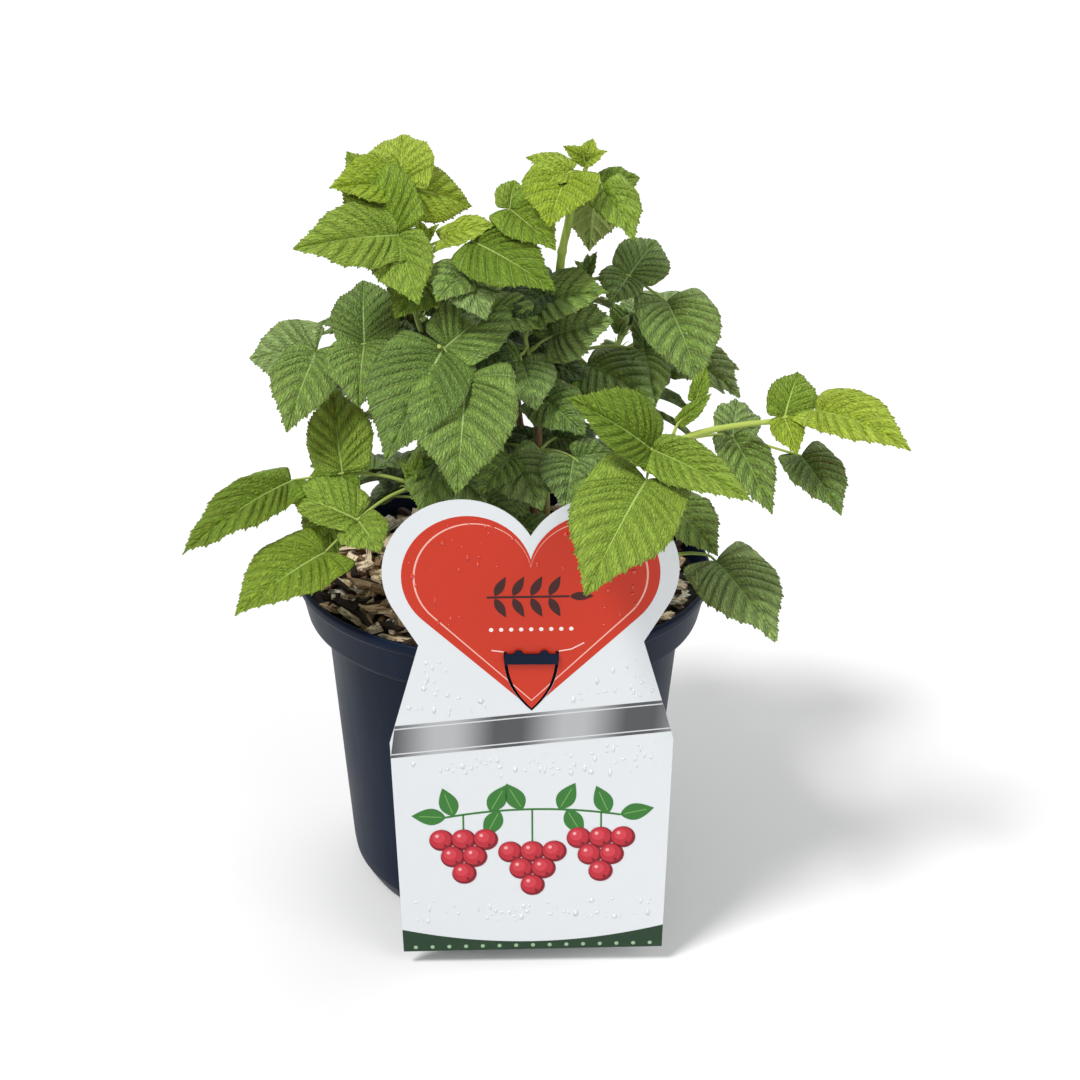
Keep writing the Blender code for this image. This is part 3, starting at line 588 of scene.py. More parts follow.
def plate(name, outlines, low, high, material):
    """Flat plates of the card's frame between two distances from its back face."""
    points, faces = [], []
    for outline in outlines:
        first, count = len(points), len(outline)
        for out in (low, high):
            points += [card_point(*rolled(*corner), out) for corner in outline]
        faces.append(tuple(range(first + count - 1, first - 1, -1)))
        faces.append(tuple(range(first + count, first + 2 * count)))
        for index in range(count):
            after = (index + 1) % count
            faces.append((first + index, first + after, first + count + after, first + count + index))
    made = piece_from(name, points, faces, [material], smooth=False)
    shape = bmesh.new()
    shape.from_mesh(made.data)
    bmesh.ops.recalc_face_normals(shape, faces=shape.faces)
    shape.to_mesh(made.data)
    shape.free()
    return made


def slit_tool():
    """The tool that cuts the slit round the tongue."""
    band = tongue_outline(SLIT) + tongue_outline(0)[::-1]
    return plate("slit", [band], -2, CARD_THICK + 2, card_white)


def disc(middle, radius, steps):
    """A round outline."""
    turns = [2 * math.pi * step / steps for step in range(steps)]
    return [(middle[0] + radius * math.cos(turn), middle[1] + radius * math.sin(turn)) for turn in turns]


def simple_leaf(foot, heading, length, width):
    """A plain pointed leaf outline from its foot."""
    way = (math.cos(math.radians(heading)), math.sin(math.radians(heading)))
    sides = ([], [])
    for step in range(1, 12):
        share = step / 12
        half = width / 2 * math.sin(math.pi * share ** 0.8)
        for side, sign in zip(sides, (1, -1)):
            side.append((foot[0] + way[0] * length * share - way[1] * half * sign,
                         foot[1] + way[1] * length * share + way[0] * half * sign))
    tip = (foot[0] + way[0] * length, foot[1] + way[1] * length)
    return [foot] + sides[1] + [tip] + sides[0][::-1]


def stroke(start, end, width):
    """A straight line with a width, as an outline."""
    way = (Vector(end) - Vector(start)).normalized() * width / 2
    side = Vector((-way.y, way.x))
    return [tuple(Vector(start) + side), tuple(Vector(start) - side),
            tuple(Vector(end) - side), tuple(Vector(end) + side)]


card_white = finish_named("card_white", CARD_WHITE, 0.34, coat_weight=0.12, coat_roughness=0.15)
add_bump(card_white, grain_of(card_white.node_tree, 60, detail=2), 0.0004, 0.35)
card_outline = heart_half(LOBE_CENTRE, LOBE_RADIUS, WAIST) + [WAIST, SHOULDER, (CARD_FOOT_HALF, CARD_FOOT)]
card = plate("picture_card", [both_halves(card_outline)], 0, CARD_THICK, card_white)
cut_away(card, slit_tool())
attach(card, "root")
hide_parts("label_card")

# Card print
# Layers of ink on the card's face, each a few hundredths of a millimetre thick: a heart
# with a sprig, a foil band, a spray of round fruit and a strip. Rain stands on it in beads.
HEART_CENTRE, HEART_RADIUS, HEART_POINT = (31.4, 232.6), 32.6, (0, 157.6)
SPRIG_HEIGHT, SPRIG_DARK, DOT_WHITE = 221.0, (0.045, 0.008, 0.008), (0.80, 0.72, 0.70)
BAND_MIDDLE, BAND_TALL, BAND_SLANT = 146.0, 18.5, 0.09
STRIP_TOP, STRIP_DIP = 24.0, 9.0
BUNCHES = ((-36, 80), (0, 72), (36, 80))         # the middle of each bunch's top row
BERRY, BERRY_ROWS = 6.5, (3, 2, 1)
BERRY_PITCH, BERRY_DROP = 1.78, 1.6              # from berry to berry and row to row, by its radius
FRUIT_RED, FRUIT_DEEP = (0.46, 0.020, 0.035), (0.20, 0.006, 0.014)
FRUIT_LIGHT, FRUIT_GLOW = (0.58, 0.045, 0.065), (0.80, 0.36, 0.36)
PRINT_GREEN, PRINT_LIGHT_GREEN = (0.035, 0.17, 0.028), (0.16, 0.36, 0.09)


def spray_height(across):
    """The arched twig that the printed fruit hangs from."""
    return 98 - 5 * (across / 50) ** 2


def berries():
    """The middles of the round berries of the bunches."""
    found = []
    for across, top in BUNCHES:
        for row, count in enumerate(BERRY_ROWS):
            for number in range(count):
                aside = (number - (count - 1) / 2) * BERRY * BERRY_PITCH
                found.append((across + aside, top - row * BERRY * BERRY_DROP))
    return found


def band_edge(across, part):
    """The height of the slanted band's lower (0) to upper (1) edge."""
    return BAND_MIDDLE + BAND_SLANT * across + BAND_TALL * (part - 0.5)


def band_outline(low, high):
    """A slanted strip across the card, between two parts of the band's height."""
    corners = []
    for side, part in ((-1, low), (1, low), (1, high), (-1, high)):
        across = side * card_edge(BAND_MIDDLE)
        for _ in range(3):
            across = side * card_edge(band_edge(across, part))
        corners.append((across, band_edge(across, part)))
    return corners


def foil_finish():
    """Silver foil: grey with soft bright bars across its length."""
    material = ink(BAND_GREY, 0.36, 0.35)
    tree = material.node_tree
    place = add_node(tree, "ShaderNodeTexCoord")
    waves = add_node(tree, "ShaderNodeTexWave", {"Vector": place.outputs["Object"], "Scale": 4.6,
                                                 "Distortion": 1.2, "Detail": 1.0})
    colour = ramp_of(tree, waves.outputs["Fac"], (0.1, BAND_GREY), (0.95, BAND_SHINE))
    tree.links.new(colour, tree.nodes["Principled BSDF"].inputs["Base Color"])
    return material


def heart_ring(inset, width):
    """A thin line that follows the heart inside its edge."""
    rings = []
    for step in (inset, inset + width):
        half = heart_half((HEART_CENTRE[0] - 0.8 * step, HEART_CENTRE[1] - 0.2 * step), HEART_RADIUS - step,
                          (0, HEART_POINT[1] + 1.45 * step))
        rings.append(half + [(0, HEART_POINT[1] + 1.45 * step)])
    half = rings[0] + rings[1][::-1]
    return [half, [(-across, height) for across, height in half[::-1]]]


def ink(colour, roughness=0.34, metallic=0.0):
    """A printed colour under the card's own gloss."""
    name = "ink_" + "_".join(str(round(part * 100)) for part in colour)
    return finish_named(name, colour, roughness, 0.25, metallic=metallic,
                        coat_weight=0.08, coat_roughness=0.15)


def print_layer(name, level, outlines, material):
    """One layer of ink on the face of the card, open where the slit is."""
    base = CARD_THICK + level * INK
    layer = plate(name, outlines, base - INK * 0.6, base + INK, material)
    if any(height > TONGUE_POINT - SLIT for outline in outlines for _, height in outline):
        cut_away(layer, slit_tool())
    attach(layer, "root")


heart = heart_half(HEART_CENTRE, HEART_RADIUS, HEART_POINT) + [HEART_POINT]
print_layer("print_heart", 0, [both_halves(heart)], ink(CARD_RED))
print_layer("print_heart_line", 1, heart_ring(3.2, 0.5), ink((0.80, 0.42, 0.36)))
ear = ((26.5, 195), (20, 191.5), (13.8, 190.5))
ears = [stroke((side * a[0], a[1]), (side * b[0], b[1]), 0.6)
        for side in (-1, 1) for a, b in zip(ear, ear[1:])]
print_layer("cut_lines", 1, ears, ink((0.86, 0.60, 0.55)))
sprig = [stroke((-22, SPRIG_HEIGHT), (19, SPRIG_HEIGHT), 1.2)]
sprig += [simple_leaf((-18 + 9 * step, SPRIG_HEIGHT + 0.7 * side), 62 * side, 12, 4.6)
          for step in range(4) for side in (-1, 1)]
sprig.append(simple_leaf((19.2, SPRIG_HEIGHT), 0, 12, 4.6))
print_layer("print_sprig", 1, sprig, ink(SPRIG_DARK))
heart_dots = [disc((-20 + 5 * step, 203), 1.1, 14) for step in range(9)]
print_layer("print_heart_dots", 1, heart_dots, ink(DOT_WHITE))
print_layer("print_band", 1, [band_outline(0, 1)], foil_finish())
band_lines = [band_outline(0.09, 0.125), band_outline(0.875, 0.91)]
print_layer("print_band_lines", 2, band_lines, ink((0.62, 0.63, 0.64)))
strip_half = [(CARD_FOOT_HALF, CARD_FOOT), (card_edge(STRIP_TOP), STRIP_TOP)]
for step in range(9, -1, -1):
    strip_half.append((CARD_FOOT_HALF * step / 10, STRIP_TOP - STRIP_DIP * (1 - (step / 10) ** 2)))
strip_half = strip_half[:-1] + [(0, STRIP_TOP - STRIP_DIP)]
print_layer("print_strip", 0, [strip_half + [(-a, h) for a, h in strip_half[-2::-1]]], ink(STRIP_GREEN))
strip_dots = [disc((-63 + 9 * step, 12.6), 1.1, 14) for step in range(15)]
print_layer("print_strip_dots", 1, strip_dots, ink((0.30, 0.46, 0.28)))

twig_stations = [-46 + 4 * step for step in range(24)]
twig = [stroke((a, spray_height(a)), (a + 4.2, spray_height(a + 4.2)), 1.2) for a in twig_stations[:-1]]
stalks = [stroke((a, spray_height(a)), (a, h), 1.0) for a, h in BUNCHES]
print_layer("print_twig", 0, twig + stalks, ink(PRINT_GREEN))
leaf_spots = [(-45, 176), (-41, 108), (-22, 62), (-17, 244), (-5, 118), (14, 62), (18, 298),
              (40, 112), (46, 12)]
leaves_drawn = [simple_leaf((a, spray_height(a)), turn, 18, 10) for a, turn in leaf_spots]
print_layer("print_leaves", 1, leaves_drawn, ink(PRINT_GREEN))
ribs_drawn = []
for a, turn in leaf_spots:
    way = Vector((math.cos(math.radians(turn)), math.sin(math.radians(turn))))
    foot = Vector((a, spray_height(a)))
    ribs_drawn.append(stroke(foot + way * 2, foot + way * 14, 0.5))
print_layer("print_ribs", 2, ribs_drawn, ink(PRINT_LIGHT_GREEN))
for part, level, aside, up, size, steps, colour in (
        ("_shade", 3, 0, 0, 1, 28, FRUIT_DEEP), ("", 4, -0.1, 0.12, 0.86, 28, FRUIT_RED),
        ("_light", 5, -0.22, 0.26, 0.5, 20, FRUIT_LIGHT), ("_glow", 6, -0.36, 0.42, 0.15, 12, FRUIT_GLOW),
        ("_eye", 5, 0.28, -0.5, 0.14, 12, FRUIT_DEEP)):
    discs = [disc((a + BERRY * aside, h + BERRY * up), BERRY * size, steps) for a, h in berries()]
    print_layer("print_berry" + part, level, discs, ink(colour))


DROP_APART, DROP_SIZE = 0.0024, 0.0015           # in metres
RED_DROPS, WHITE_DROPS = 15000.0, 36000.0        # to a square metre


def drop_tree():
    """Rain drops on a face: low round beads of many sizes, scattered by a fixed seed."""
    tree, given = new_tree("drops", ("Density", "Float", 9000.0), ("Spacing", "Float", 0.002),
                           ("Size", "Float", 0.0009), ("Seed", "Int", 2), ("Water", "Material", None))
    points = spread_points(tree, given)
    bead = add_node(tree, "GeometryNodeMeshIcoSphere", {"Radius": given["Size"], "Subdivisions": 1})
    spread = random_of(tree, "FLOAT_VECTOR", (0.3, 0.3, 0.2), (1.3, 2.1, 0.42), 4)
    smaller = random_of(tree, "FLOAT_VECTOR", (0.5, 0.5, 0.5), (1.0, 1.0, 1.0), 8)
    beads = planted(tree, points, bead.outputs[0], vectors(tree, spread, smaller, "MULTIPLY"))
    smooth = add_node(tree, "GeometryNodeSetShadeSmooth", {"Geometry": beads})
    return close_tree(tree, painted(tree, smooth.outputs[0], given["Water"]))


def rain_on(name, outline, level, colour, density, seed):
    """Rain on one printed ground: clear beads take on the colour that they lie on."""
    bead = finish_named(name + "_bead", colour, 0.06, coat_weight=0.5, coat_roughness=0.03)
    base = CARD_THICK + level * INK
    ground = piece_from(name + "_ground", [card_point(*rolled(*corner), base) for corner in outline],
                        [tuple(range(len(outline)))], [])
    drops = grown(name, ground, rain_tree, density=density, spacing=DROP_APART, size=DROP_SIZE,
                  seed=seed, water=bead)
    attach(drops, "root")


rain_tree = drop_tree()
heart_ground = both_halves(heart_half((30.0, 232.6), 30.8, (0, 196)) + [(35, 236), (0, 236)])
rain_on("rain_on_heart", heart_ground, 0.9, shaded(CARD_RED, 1.15), RED_DROPS, 2)
wet_white = shaded(CARD_WHITE, 1.06)
white_grounds = ([(-66, 118), (66, 118), (68, 138), (-68, 127)], [(-66, 29), (66, 29), (66, 42), (-66, 42)],
                 [(-66, 153), (-18, 158), (-51, 191)], [(18, 161), (63, 165), (51, 191)])
for number, white_ground in enumerate(white_grounds):
    rain_on(f"rain_on_white_{number + 1}", white_ground, 0, wet_white, WHITE_DROPS, number + 5)

# Canes
# Ten slender canes rise from one root: reddish brown and ridged near the soil, green
# above, a little swollen at each leaf scar, and set with fine weak prickles.
# A cane: its foot on the soil, its bends and its tip, then its radius at foot and tip.
Cane = namedtuple("Cane", "points foot tip")
CANES = {
    "cane_left": Cane(((8, 2), (-6, -4, 255), (-19, -9, 303), (-28, -10, 328)), 2.9, 2.0),
    "cane_left_second": Cane(((-4, 8), (-24, 2, 262), (-40, -8, 312)), 2.4, 1.7),
    "cane_right": Cane(((24, 6), (22, 9, 250), (27, 9, 318), (29, 7, 357), (34, 4, 386)), 3.1, 2.1),
    "cane_middle": Cane(((13, -8), (18, -6, 255), (15, -5, 296)), 2.6, 1.9),
    "cane_low_left": Cane(((-4, -10), (-14, -20, 214)), 2.4, 1.9),
    "cane_low_right": Cane(((30, -6), (50, -32, 236), (68, -68, 276)), 2.8, 2.0),
    "cane_skirt_right": Cane(((42, -10), (58, -24, 198)), 1.9, 1.6),
    "cane_back": Cane(((12, 20), (10, 32, 236), (7, 38, 272)), 2.7, 1.9),
    "cane_back_left": Cane(((-10, 18), (-20, 30, 222), (-28, 36, 250)), 2.4, 1.8),
    "cane_back_right": Cane(((32, 18), (42, 30, 226), (50, 36, 254)), 2.5, 1.8),
}
BROWN_CANES = ("cane_left", "cane_middle", "cane_low_left", "cane_back")
SCAR_SPACING, SCAR_SWELL, FOOT_FLARE = 27.0, 0.22, 0.25
SUNK = 4.0                       # how far a cane's foot goes down among the chips
BARK_BROWN, BARK_RED = (0.115, 0.058, 0.030), (0.19, 0.085, 0.045)
BARK_GREEN, BARK_LIGHT = (0.29, 0.40, 0.05), (0.41, 0.53, 0.10)


def smooth_path(points, steps):
    """A smooth curve through the points, with that many steps between two of them."""
    points = [Vector(point) for point in points]
    before = points[0] * 2 - points[1]
    after = points[-1] * 2 - points[-2]
    knots = [before] + points + [after]
    path = [points[0].copy()]
    for first, second, third, fourth in zip(knots, knots[1:], knots[2:], knots[3:]):
        for step in range(1, steps + 1):
            t = step / steps
            path.append(0.5 * (2 * second + (third - first) * t
                               + (2 * first - 5 * second + 4 * third - fourth) * t ** 2
                               + (3 * second - 3 * third + fourth - first) * t ** 3))
    return path


def point_along(path, share):
    """The point of a path that lies at a share of its length."""
    lengths = [(b - a).length for a, b in zip(path, path[1:])]
    left = max(0.0, min(1.0, share)) * sum(lengths)
    for start, end, length in zip(path, path[1:], lengths):
        if left <= length:
            return start.lerp(end, left / length)
        left -= length
    return path[-1].copy()


def cane_path(name, steps=4):
    """The middle line of a cane, from its cut on the soil to its tip."""
    foot, *rest = CANES[name].points
    return smooth_path([(foot[0], foot[1], FILL_TOP + CLEAR), *rest], steps)


def limb_tree():
    """Gives lines their thickness, bark in relief and prickles, from a thickness on each point."""
    tree, given = new_tree("limbs", ("Sides", "Int", 12), ("Relief", "Float", 0.0002),
                           ("Relief Scale", "Float", 500.0), ("Prickles", "Float", 20000.0),
                           ("Prickle Length", "Float", 0.0009), ("Seed", "Int", 1),
                           ("Bark", "Material", None), ("Prickle", "Material", None))
    line = add_node(tree, "GeometryNodeMeshToCurve", {"Mesh": given["Geometry"]})
    thick = add_node(tree, "GeometryNodeInputNamedAttribute", {"Name": "thickness"}, data_type="FLOAT")
    ring = add_node(tree, "GeometryNodeCurvePrimitiveCircle", {"Resolution": given["Sides"], "Radius": 1.0})
    tube = add_node(tree, "GeometryNodeCurveToMesh",
                    {"Curve": line.outputs[0], "Profile Curve": ring.outputs[0],
                     "Scale": thick.outputs[0], "Fill Caps": True})
    place = add_node(tree, "GeometryNodeInputPosition")
    drawn = vectors(tree, place.outputs[0], (1.0, 1.0, 0.22), "MULTIPLY")
    noise = noise_of(tree, drawn, given["Relief Scale"], 3.0)["Fac"]
    deep = maths(tree, maths(tree, noise, -0.5, "ADD"), given["Relief"])
    out = vectors(tree, add_node(tree, "GeometryNodeInputNormal").outputs[0], deep, "SCALE")
    bark = add_node(tree, "GeometryNodeSetPosition", {"Geometry": tube.outputs[0], "Offset": out})
    coat = painted(tree, bark.outputs[0], given["Bark"])
    points = add_node(tree, "GeometryNodeDistributePointsOnFaces",
                      {"Mesh": bark.outputs[0], "Density": given["Prickles"], "Seed": given["Seed"]})
    cone = add_node(tree, "GeometryNodeMeshCone",
                    {"Vertices": 4, "Radius Bottom": 0.00016, "Depth": given["Prickle Length"]})
    sizes = random_of(tree, "FLOAT_VECTOR", (0.6, 0.6, 0.4), (1.1, 1.1, 1.1), 3)
    sharp = painted(tree, planted(tree, points, cone.outputs["Mesh"], sizes), given["Prickle"])
    joined = add_node(tree, "GeometryNodeJoinGeometry")
    tree.links.new(sharp, joined.inputs[0])
    tree.links.new(coat, joined.inputs[0])
    smooth = add_node(tree, "GeometryNodeSetShadeSmooth", {"Geometry": joined.outputs[0]})
    return close_tree(tree, smooth.outputs[0])


def limb_lines(name, limbs):
    """The carrier for limbs: lines with a thickness on each point, both in millimetres."""
    points, edges, widths = [], [], []
    for path, radii in limbs:
        first = len(points)
        points += [tuple(point * MM) for point in path]
        widths += [radius * MM for radius in radii]
        edges += [(first + index, first + index + 1) for index in range(len(path) - 1)]
    mesh = bpy.data.meshes.new(name)
    mesh.from_pydata(points, edges, [])
    mesh.attributes.new("thickness", "FLOAT", "POINT").data.foreach_set("value", widths)
    return linked(name, mesh)


def tapering(path, start, end, swell, flare=0.0):
    """Radii along a limb: an even taper, swollen at its scars and flared at its foot."""
    radii = []
    gone = 0.0
    total = sum((b - a).length for a, b in zip(path, path[1:]))
    for index, point in enumerate(path):
        if index:
            gone += (point - path[index - 1]).length
        radius = start + (end - start) * gone / total
        nearest = (gone + SCAR_SPACING / 2) % SCAR_SPACING - SCAR_SPACING / 2
        radius *= 1 + swell * math.exp(-(nearest / 1.7) ** 2) + flare * math.exp(-gone / 2.5)
        radii.append(radius)
    return radii


def bark_finish(name, low_colour, low_light, high_colour, high_light, low, high):
    """Bark that runs from one pair of tones near the soil to another further up."""
    material = finish_named(name, low_colour, 0.55, 0.3)
    tree = material.node_tree
    height = add_node(tree, "ShaderNodeSeparateXYZ",
                      {0: add_node(tree, "ShaderNodeTexCoord").outputs["Object"]}).outputs["Z"]
    share = add_node(tree, "ShaderNodeMapRange",
                     {"Value": height, "From Min": low * MM, "From Max": high * MM}).outputs[0]
    fibres = grain_of(tree, 900, (1, 1, 0.12), 5)
    lower = ramp_of(tree, fibres, (0.35, low_colour), (0.65, low_light))
    upper = ramp_of(tree, fibres, (0.35, high_colour), (0.65, high_light))
    mixed = add_node(tree, "ShaderNodeMix", data_type="RGBA")
    tree.links.new(share, mixed.inputs["Factor"])
    tree.links.new(lower, mixed.inputs[6])
    tree.links.new(upper, mixed.inputs[7])
    tree.links.new(mixed.outputs[2], tree.nodes["Principled BSDF"].inputs["Base Color"])
    add_bump(material, fibres, 0.0003, 0.7)
    return material


limbs_grown = limb_tree()
prickle_finish = finish_named("prickle", (0.33, 0.22, 0.12), 0.5)
brown_bark = bark_finish("bark_brown", BARK_BROWN, BARK_RED, (0.16, 0.13, 0.05), (0.25, 0.25, 0.08), 235, 330)
green_bark = bark_finish("bark_green", BARK_RED, (0.22, 0.15, 0.07), BARK_GREEN, BARK_LIGHT, 190, 270)
for order, (name, cane) in enumerate(CANES.items()):
    path = cane_path(name, 26)
    path.insert(0, path[0] - Vector((0, 0, SUNK)))
    radii = tapering(path, cane.foot, cane.tip, SCAR_SWELL, FOOT_FLARE)
    bark = brown_bark if name in BROWN_CANES else green_bark
    limb = grown(name + "_bark", limb_lines(name + "_line", [(path, radii)]), limbs_grown, sides=16,
                 relief=0.0007, relief_scale=420.0, prickles=26000.0, prickle_length=0.0011, seed=order,
                 bark=bark, prickle=prickle_finish)
    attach(limb, "root")
    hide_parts(name)

# Masses of foliage
# Each cane's tip or side carries a soft green stem, and each stem its leaves. This is
# where every leaf grows, how its stalk runs, and how each leaflet lies.
# A mass: its cane, the share along it where the stem leaves, the stem's bends and tip, its
# radius at both ends, and the tone of its leaves.
Mass = namedtuple("Mass", "cane along points base tip tone")
MASSES = {
    "foliage_left_tip": Mass("cane_left", 1, ((-38, -9, 342), (-42, -4, 369)), 2.0, 1.2, "young"),
    "foliage_left_arm": Mass("cane_left_second", 1, ((-46, -6, 328), (-49, -1, 340)), 1.7, 1.1, "grown"),
    "foliage_front": Mass("cane_left", 0.82, ((-30, -28, 318), (-34, -42, 326)), 1.4, 1.1, "grown"),
    "foliage_right_tip": Mass("cane_right", 1, ((38, 2, 398), (41, 0, 409)), 2.1, 1.1, "young"),
    "foliage_right_upper": Mass("cane_right", 0.78, ((38, 12, 342), (44, 14, 344)), 1.4, 1.1, "dark"),
    "foliage_right_middle": Mass("cane_right", 0.60, ((34, 14, 303), (40, 16, 305)), 1.4, 1.1, "dark"),
    "foliage_middle": Mass("cane_middle", 1, ((12, -5, 310), (10, -6, 321)), 1.9, 1.1, "grown"),
    "foliage_centre_low": Mass("cane_middle", 0.66, ((16, -20, 260), (14, -30, 266)), 1.4, 1.1, "dark"),
    "foliage_low_left": Mass("cane_low_left", 1, ((-32, -36, 244), (-50, -50, 253)), 1.9, 1.3, "fresh"),
    "foliage_low_right": Mass("cane_low_right", 1,
                              ((77, -88, 290), (97, -86, 297), (118, -83, 300), (138, -80, 301)),
                              2.0, 1.2, "young"),
    "foliage_skirt_right": Mass("cane_skirt_right", 1, ((74, -38, 208), (92, -50, 213)), 1.6, 1.1, "dark"),
    "foliage_back": Mass("cane_back", 1, ((5, 42, 294), (4, 43, 318)), 1.9, 1.1, "grown"),
    "foliage_back_left": Mass("cane_back_left", 1, ((-36, 42, 272), (-42, 44, 302)), 1.8, 1.1, "grown"),
    "foliage_back_right": Mass("cane_back_right", 1, ((58, 41, 278), (64, 43, 306)), 1.8, 1.1, "grown"),
    "foliage_low_back": Mass("cane_back", 0.40, ((22, 48, 206), (30, 64, 212)), 1.3, 1.1, "dark"),
    "foliage_low_back_left": Mass("cane_back_left", 0.45, ((-38, 32, 206), (-52, 38, 212)), 1.3, 1.1, "dark"),
}
# A leaf: the share along its stem where it leaves, its bare stalk, the reach from the side
# leaflets to the end one, the heading and rise that its upper side faces, and how far each
# leaflet bends. A leaflet has the heading and rise that it points to, a length and a width.
Leaf = namedtuple("Leaf", "name mass at stalk reach face bend ends sides")
LEAVES = (
    Leaf("a_back", "foliage_left_tip", 0.9, (-13, 14, 31), (0, 0, 0), (270, 40), 25,
         ((90, 30, 38, 34),), ((210, 5, 41, 28), (20, -20, 42, 32))),
    Leaf("a_front", "foliage_left_tip", 0.62, (-15, -8, 24), (0, 0, 0), (262, 38), 25,
         ((208, 0, 58, 36),), ((130, 40, 55, 36), (290, -40, 43, 32))),
    Leaf("a_young", "foliage_left_tip", 0.92, (8, -4, 6), (0, 0, 0), (265, 60), 20,
         ((340, 20, 34, 20),), ()),
    Leaf("a_low", "foliage_left_tip", 0.36, (-3, 4, 8), (0, 0, 0), (262, 45), 20,
         ((240, -20, 34, 30),), ()),
    Leaf("b_high", "foliage_left_tip", 0.30, (19, -10, 36), (19, 6, 15), (262, 50), 25,
         ((315, -25, 36, 28), (80, 40, 18, 16)), ((320, -16, 57, 36),)),
    Leaf("b_low", "foliage_left_tip", 0.15, (12, -14, 26), (0, 0, 0), (265, 45), 25,
         ((290, -30, 34, 28),), ((235, -20, 28, 26),)),
    Leaf("i_arm", "foliage_left_arm", 0.12, (-32, -9, 3), (-24, -4, -2), (262, 42), 32,
         ((250, -38, 51, 34), (168, -12, 38, 34)), ((93, 35, 42, 36), (268, -32, 42, 34))),
    Leaf("k_front", "foliage_front", 0.6, (-2, -10, 6), (12, -12, -11), (266, 42), 25,
         ((265, -40, 68, 54),), ((242, -35, 73, 50), (40, 22, 50, 38))),
    Leaf("c_left", "foliage_right_tip", 0.8, (-7, -8, 3), (-2, -2, -1), (262, 50), 30,
         ((252, -30, 38, 38),), ((140, 5, 30, 12), (205, -10, 24, 18))),
    Leaf("c_right", "foliage_right_tip", 0.76, (9, -4, -3), (0, 0, -1), (285, 45), 25,
         ((300, -35, 38, 26),), ((30, 0, 24, 16), (280, -40, 26, 18))),
    Leaf("c_back", "foliage_right_tip", 0.5, (8, 7, -2), (0, 0, 0), (85, 30), 15,
         ((95, -70, 41, 30),), ()),
    Leaf("c_bud", "foliage_right_tip", 0.94, (0, 1, 3), (0, 0, 0), (250, 30), 20,
         ((70, 40, 15, 9),), ((190, 35, 15, 8), (330, 30, 14, 8))),
    Leaf("d_arm", "foliage_right_upper", 0.9, (23, 4, 2), (20, -6, -12), (275, 45), 35,
         ((288, -33, 58, 42),), ((55, 25, 31, 30), (240, -25, 24, 24))),
    Leaf("d_big", "foliage_middle", 0.9, (6, -1, 17), (0, 0, 0), (268, 55), 25,
         ((326, 20, 46, 36),), ()),
    Leaf("e_arm", "foliage_right_middle", 0.9, (36, 4, -1), (21, 4, -4), (280, 45), 30,
         ((310, -15, 47, 28),), ((90, 35, 31, 14), (280, -35, 37, 26))),
    Leaf("e_low", "foliage_right_middle", 0.6, (9, 0, -6), (0, 0, 0), (275, 55), 25,
         ((318, -15, 50, 36),), ((270, -35, 30, 24),)),
    Leaf("f_high", "foliage_middle", 0.55, (13, -3, 11), (0, 0, 0), (268, 40), 20,
         ((325, 22, 40, 38),), ((110, 30, 21, 22),)),
    Leaf("f_low", "foliage_middle", 0.7, (-3, -10, -4), (10, -3, -19), (268, 45), 25,
         ((310, -18, 38, 30),), ((285, -30, 35, 34), (200, 0, 28, 24))),
    Leaf("k_low", "foliage_low_left", 0.42, (-8, -6, 30), (0, 0, 0), (262, 45), 25,
         ((255, -35, 40, 30),), ((310, -25, 42, 34),)),
    Leaf("k_middle", "foliage_centre_low", 0.9, (-12, -20, 4), (0, 0, 0), (268, 50), 25,
         ((300, -30, 38, 32),), ((235, -25, 30, 26),)),
    Leaf("k_right", "foliage_centre_low", 0.7, (20, -26, 6), (8, -14, -4), (275, 55), 25,
         ((305, -32, 30, 26),), ((22, 0, 22, 20), (258, -35, 32, 30))),
    Leaf("g_front", "foliage_low_right", 0.24, (-3, -8, 3), (-3, -12, -11), (262, 48), 25,
         ((240, -30, 74, 52),), ((195, 35, 54, 34), (318, -10, 63, 26))),
    Leaf("g_middle", "foliage_low_right", 0.28, (38, 20, -2), (36, 4, -12), (275, 50), 25,
         ((295, -25, 43, 28),), ((80, 20, 29, 24), (292, -30, 51, 26))),
    Leaf("g_tip", "foliage_low_right", 0.93, (6, 0, 2), (15, 0, 4), (262, 55), 42,
         ((312, -4, 60, 30),), ((70, 25, 33, 24), (280, -25, 26, 16))),
    Leaf("g_young", "foliage_low_right", 0.34, (4, 2, 10), (8, 3, 10), (265, 40), 12,
         ((50, 60, 18, 9),), ((10, 42, 22, 8),)),
    Leaf("h_skirt", "foliage_skirt_right", 0.9, (18, -8, 4), (4, -5, -1), (272, 55), 30,
         ((297, -20, 62, 42),), ()),
    Leaf("h_high", "foliage_skirt_right", 0.5, (12, -4, 32), (0, 0, 0), (280, 55), 30,
         ((310, -25, 42, 30),), ()),
    Leaf("j_high", "foliage_low_left", 0.88, (-40, -3, 8), (-26, -2, -3), (255, 50), 30,
         ((228, -13, 77, 30),), ((100, 45, 50, 34), (240, -70, 50, 30))),
    Leaf("j_low", "foliage_low_left", 0.94, (-28, -26, -8), (-16, -8, -14), (255, 62), 22,
         ((225, -15, 62, 42),), ((155, 10, 43, 30), (300, -20, 26, 26))),
)
OTHER_TONES = {"b_high": "fresh", "g_front": "fresh", "b_low": "grown", "a_low": "fresh", "a_front": "fresh",
               "c_right": "fresh", "k_low": "grown", "g_middle": "dark", "f_high": "dark",
               "f_low": "dark"}

